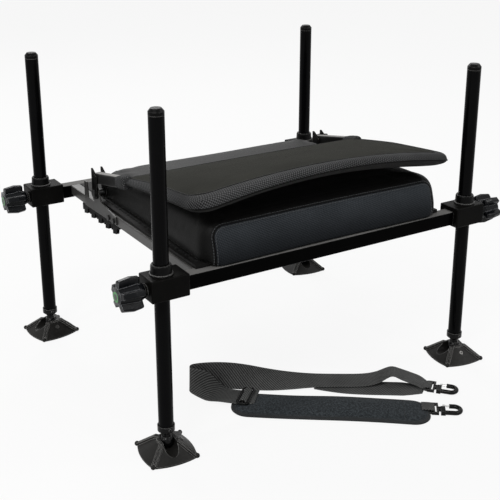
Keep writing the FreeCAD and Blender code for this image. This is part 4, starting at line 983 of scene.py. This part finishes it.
def makeCushion():
    c = cushion
    across, deep = c["across"], c["deep"]

    def ring(inset, share):
        line = rim(inset - c["half"], c["half"] - inset, c["front"] + inset, c["back"] - inset,
                   c["round"], c["round"], across, deep, c["draw"])
        return np.array([cushionPlace(x, y, share) for x, y in line])

    def topAt(x, y):
        along = (y - c["front"]) / (c["back"] - c["front"])
        half = c["half"] + (c["backHalf"] - c["half"]) * along
        u = (x - c["middle"] * (1 - along)) / (half - c["crownIn"])
        v = (along * 2 - 1) / c["crownDeep"]
        bulge = max(0.0, 1 - u ** 4) * max(0.0, 1 - v ** 4)
        return cushionPlace(0, y, 1.0, c["crown"] * bulge ** c["crownPower"])[2]

    rings = [ring(*row) for row in c["rows"]]
    piece = softShell("seatCushion", rings, across, deep, lambda x, y: c["foot"], topAt,
                      ["leather", "twill"], [0] * (len(rings) - 1), 0, 0)
    points = pointsOf(piece)
    up = points[:, 2] - c["foot"]
    hang = ramp(c["skirtFrom"] - points[:, 1], c["skirtOver"])
    points[:, 1] -= c["flare"] * hang * (1 - ramp(up, c["flareUp"]))
    points[:, 2] -= c["skirt"] * hang * (1 - ramp(up, c["skirtUp"]))
    setPoints(piece, points)
    facing = points[:, 1] < c["front"] + c["frontDeep"]
    depth = panelDepth(points[:, 0], points[:, 2])
    seam = facing & (np.abs(depth) < c["seamHalf"])
    inflate(piece, np.nonzero(seam | (points[:, 2] < c["foot"] + c["heldUp"]))[0], c)
    points = pointsOf(piece)
    depth = panelDepth(points[:, 0], points[:, 2])
    push = c["panelPuff"] * ramp(depth, c["puffOver"]) - dent(depth, c["groove"], c["grooveWide"])
    points[:, 1] -= np.where(facing, push, 0.0)
    side = (np.abs(points[:, 0]) > c["rearSide"]) & (points[:, 2] > c["foot"] + c["rearLow"])
    inwards = dent(points[:, 1] - c["rearSeam"], c["rearDip"], c["rearWide"]) * side
    points[:, 0] -= np.sign(points[:, 0]) * inwards
    setPoints(piece, points)
    marks = []
    for face in piece.data.polygons:
        spot = np.mean([points[i] for i in face.vertices], 0)
        onFront = spot[1] < c["front"] + c["twillDeep"] and face.normal.y < c["twillFacing"]
        marks.append(1 if onFront and panelDepth(spot[0], spot[2]) > 0 else 0)
    piece.data.polygons.foreach_set("material_index", marks)
    smoothSkin(piece)
    finishPiece(piece, "frame", ["seat_cushion"])
    sewCushion(piece)
    makeHem()
    print("seat cushion made,", len(points), "points")


# The line of the front panel's seam, from its lower left end up, across and down again.
def panelLine():
    c = cushion
    half, r, middle = c["panelHalf"], c["panelRound"], c["middle"]
    top = c["foot"] + c["panelTop"]
    rise = np.linspace(c["foot"] - c["panelLow"], top - r, 16)
    turn = np.linspace(0, math.pi / 2, 9)[1:-1]
    run = np.linspace(-half + r, half - r, 90)
    left = [(middle - half, z) for z in rise]
    bend = [(middle - half + r - r * math.cos(t), top - r + r * math.sin(t)) for t in turn]
    whole = left + bend + [(middle + x, top) for x in run]
    whole += [(2 * middle - x, z) for x, z in bend[::-1] + left[::-1]]
    return np.array(whole)


def sewCushion(piece):
    c = cushion
    tree = surfaceTree(piece)
    line = np.array([tree.ray_cast(Vector((x, c["inFront"], z)), Vector((0, 1, 0)))[0][:]
                     for x, z in panelLine()])
    places, rise = laid(tree, resampled(line, c["pipingStep"]))
    parts = [rod(places + rise * c["piping"] * c["pipingUp"], rise, c["piping"])]
    for side in (-1, 1):
        rear = [tree.ray_cast(Vector((side * c["beside"], c["rearSeam"], z)), Vector((-side, 0, 0)))[0][:]
                for z in np.linspace(c["foot"] + c["rearLow"], c["foot"] + c["rearHigh"], 14)]
        places, rise = laid(tree, np.array(rear))
        parts.append(rod(places + rise * c["rearPipingUp"], rise, c["piping"] * c["rearPiping"]))
    joinedPiece("seatPiping", parts, "piping", "frame")
    rows = sewRow(tree, line, c["rowGap"], c["stitch"]) + sewRow(tree, line, -c["rowGap"], c["stitch"])
    joinedPiece("seatStitches", rows, "thread", "frame")


hem = dict(low=0.3102, thick=0.0036, out=0.0032, frontIn=0.012, frontRound=0.02, backRound=0.03, across=120,
           deep=90, wander=0.0006, step=0.004, around=9)


# The rough edge of the cover that shows between the cushion and the bars, on three sides.
def makeHem():
    c, h = cushion, hem
    line = rim(-c["half"] - h["out"], c["half"] + h["out"], c["front"] + h["frontIn"], c["back"] + h["out"],
               h["frontRound"], h["backRound"], h["across"], h["deep"])
    outline = [(*cushionPlace(x, y, 0)[:2], h["low"] + h["thick"]) for x, y in line[h["across"]:]]
    fine = resampled(np.array(outline), h["step"])
    far = lengths(fine)
    sway = np.sin(far * 311) * 0.5 + np.sin(far * 743 + 1.3) * 0.35 + np.sin(far * 1570 + 0.4) * 0.25
    fine[:, 2] += sway * h["wander"]
    size = h["thick"] * (1 + 0.22 * np.sin(far * 523 + 2.1) + 0.15 * np.sin(far * 1210))
    up = np.repeat([[0.0, 0.0, 1.0]], len(fine), 0)
    smoothSkin(joinedPiece("coverHem", [rod(fine, up, size, h["around"])], "hem", "frame"))


# Each ring has an inset from the pad's front edge, its sides and its back edge.
backPad = dict(
    left=-0.26, right=0.268, front=-0.284, back=0.016, frontRound=0.042, backRound=0.018, sideLoss=0.6,
    backLoss=0.5, across=120, deep=72, backZ=0.3818, frontZ=0.4383, droop=0.0015, arch=0.0255, archPower=1.3,
    thin=0.013, thick=0.0256, fullAt=0.45, nose=0.015, squareness=2.3, underNose=0.034, underSquareness=1.7,
    upperRings=[(0.0, 0.0, 0.0), (0.001, 0.001, 0.0008), (0.0034, 0.0028, 0.0022), (0.007, 0.005, 0.0038),
                (0.012, 0.0074, 0.0056), (0.019, 0.0098, 0.0074), (0.027, 0.012, 0.009),
                (0.0345, 0.014, 0.0105)],
    lowerRings=[(0.018, 0.015, 0.011), (0.011, 0.01, 0.0075), (0.0062, 0.0058, 0.0045),
                (0.0036, 0.0034, 0.0028), (0.0012, 0.0012, 0.001)],
    skew=0.042, skewFrom=-0.1, skewOver=0.12, skewIn=0.006, skewWhole=0.0285, pressure=4.0, cap=0.003,
    seam=0.0012, lowerSeam=0.0004, piping=0.0011, upperPiping=0.7, pipingUp=0.35, pipingStep=0.004,
    rowOut=0.003, stitch=dict(long=0.0034, gap=0.0014, thick=0.0004), armX=0.2533,
)


def padEdge(frontIn, sideIn, backIn):
    p = backPad
    return (p["left"] + sideIn, p["right"] - sideIn, p["front"] + frontIn, p["back"] - backIn,
            p["frontRound"] - sideIn * p["sideLoss"], p["backRound"] - backIn * p["backLoss"])


# The height of the pad's upper (1) or lower (-1) side at a place.
def padHeight(x, y, sign):
    p = backPad
    share = np.clip((p["back"] - y) / (p["back"] - p["front"]), 0, 1)
    middle, half = (p["left"] + p["right"]) / 2, (p["right"] - p["left"]) / 2
    crest = p["backZ"] + (p["frontZ"] - p["backZ"]) * share
    drop = p["droop"] + p["arch"] * share ** p["archPower"]
    z = crest - drop * ((x - middle) / half) ** 2
    full = p["thin"] + (p["thick"] - p["thin"]) * np.minimum(1.0, share / p["fullAt"])
    nose, n = (p["nose"], p["squareness"]) if sign > 0 else (p["underNose"], p["underSquareness"])
    deep = np.clip(inside(x, y, *padEdge(0, 0, 0)) / nose, 0, 1)
    return z + sign * full / 2 * (1 - (1 - deep) ** n) ** (1 / n)


def makeBackrest():
    p = backPad
    across, deep = p["across"], p["deep"]
    count = 2 * (across + deep)

    def ring(insets, sign):
        line = rim(*padEdge(*insets), across, deep)
        near = ramp(p["skewFrom"] - line[:, 1], p["skewOver"])
        line[:, 1] -= p["skew"] * line[:, 0] * near * max(insets[0] - p["skewIn"], 0) / p["skewWhole"]
        return np.concatenate([line, padHeight(line[:, 0], line[:, 1], sign)[:, None]], 1)

    def ringPoints(k):
        return list(range(k * count, (k + 1) * count))

    rings = [ring(row, -1) for row in p["lowerRings"]] + [ring(row, 1) for row in p["upperRings"]]
    seamRing, lowerRing = len(rings) - 1, len(p["lowerRings"])
    finish = [2] * lowerRing + [1] * (seamRing - lowerRing)
    piece = softShell("backrestPad", rings, across, deep, lambda x, y: padHeight(x, y, -1),
                      lambda x, y: padHeight(x, y, 1), ["weave", "mesh", "lining"], finish, 2, 0)
    upperSeam, lowerSeam = ringPoints(seamRing), ringPoints(lowerRing)
    points = pointsOf(piece)
    points[upperSeam, 2] -= p["seam"]
    points[lowerSeam, 2] += p["lowerSeam"]
    setPoints(piece, points)
    inflate(piece, upperSeam + lowerSeam, p)
    smoothSkin(piece)
    finishPiece(piece, "backrest", ["backrest_pad"])
    points = pointsOf(piece)
    tree = surfaceTree(piece)
    parts = []
    for seam, size in ((upperSeam, p["upperPiping"]), (lowerSeam, 1.0)):
        places, rise = laid(tree, resampled(points[seam], p["pipingStep"], closed=True))
        raised = places + rise * p["piping"] * p["pipingUp"] * size
        parts.append(rod(raised, rise, p["piping"] * size, closed=True))
    joinedPiece("backrestPiping", parts, "piping", "backrest")
    rows = sewRow(tree, points[upperSeam], -p["rowOut"], p["stitch"], closed=True)
    joinedPiece("backrestStitches", rows, "darkThread", "backrest")
    makeSleeves()
    print("backrest pad made,", len(points), "points")


sleeve = dict(pivotY=0.114, pivotZ=0.332, lift=0.0285, tilt=11.0, first=0.0995, last=0.14, rings=15,
              around=24, wide=0.0118, tall=0.0126, squareness=3.0, tight=0.16, easeOver=5, ripple=0.02)


# The cloth pockets that hold the ends of the two arms at the pad's back corners.
def makeSleeves():
    s = sleeve
    tilt = math.radians(s["tilt"])
    stations = np.linspace(s["first"], s["last"], s["rings"])
    turn = np.linspace(0, 2 * math.pi, s["around"] + 1)[:-1]
    power = 2 / s["squareness"]
    across = np.sign(np.cos(turn)) * np.abs(np.cos(turn)) ** power * s["wide"]
    above = np.sign(np.sin(turn)) * np.abs(np.sin(turn)) ** power * s["tall"]
    faces = ringQuads(s["rings"], s["around"])
    last = (s["rings"] - 1) * s["around"]
    faces += [tuple(range(s["around"]))[::-1], tuple(range(last, last + s["around"]))]
    steps = np.arange(s["around"] + 1) * (2 * math.pi * s["wide"] / s["around"])
    weave = ringWeave(steps, stations) + [(0.0, 0.0)] * (2 * s["around"])
    for side, name in zip((-1, 1), sides):
        rings = []
        for k, far in enumerate(stations):
            fromEnd = min(k, 2 * (s["rings"] - 1 - k))
            size = min(1.0, 1 - s["tight"] + s["tight"] * fromEnd / s["easeOver"])
            size *= 1 + s["ripple"] * math.sin(k * 1.9 + side)
            up = s["lift"] + above * size
            y = s["pivotY"] - far * math.cos(tilt) + up * math.sin(tilt)
            z = s["pivotZ"] + far * math.sin(tilt) + up * math.cos(tilt)
            rings.append(np.stack([side * backPad["armX"] + across * size, y, z], 1))
        piece = makePiece("armSleeve_" + name, np.concatenate(rings), faces, ["mesh"], None, weave)
        smoothSkin(piece)
        finishPiece(piece, "backrest")


makeCamera()
makeStage()
dressNodes()
makeStrap()
makeShoulderPad()
makeCushion()
makeBackrest()
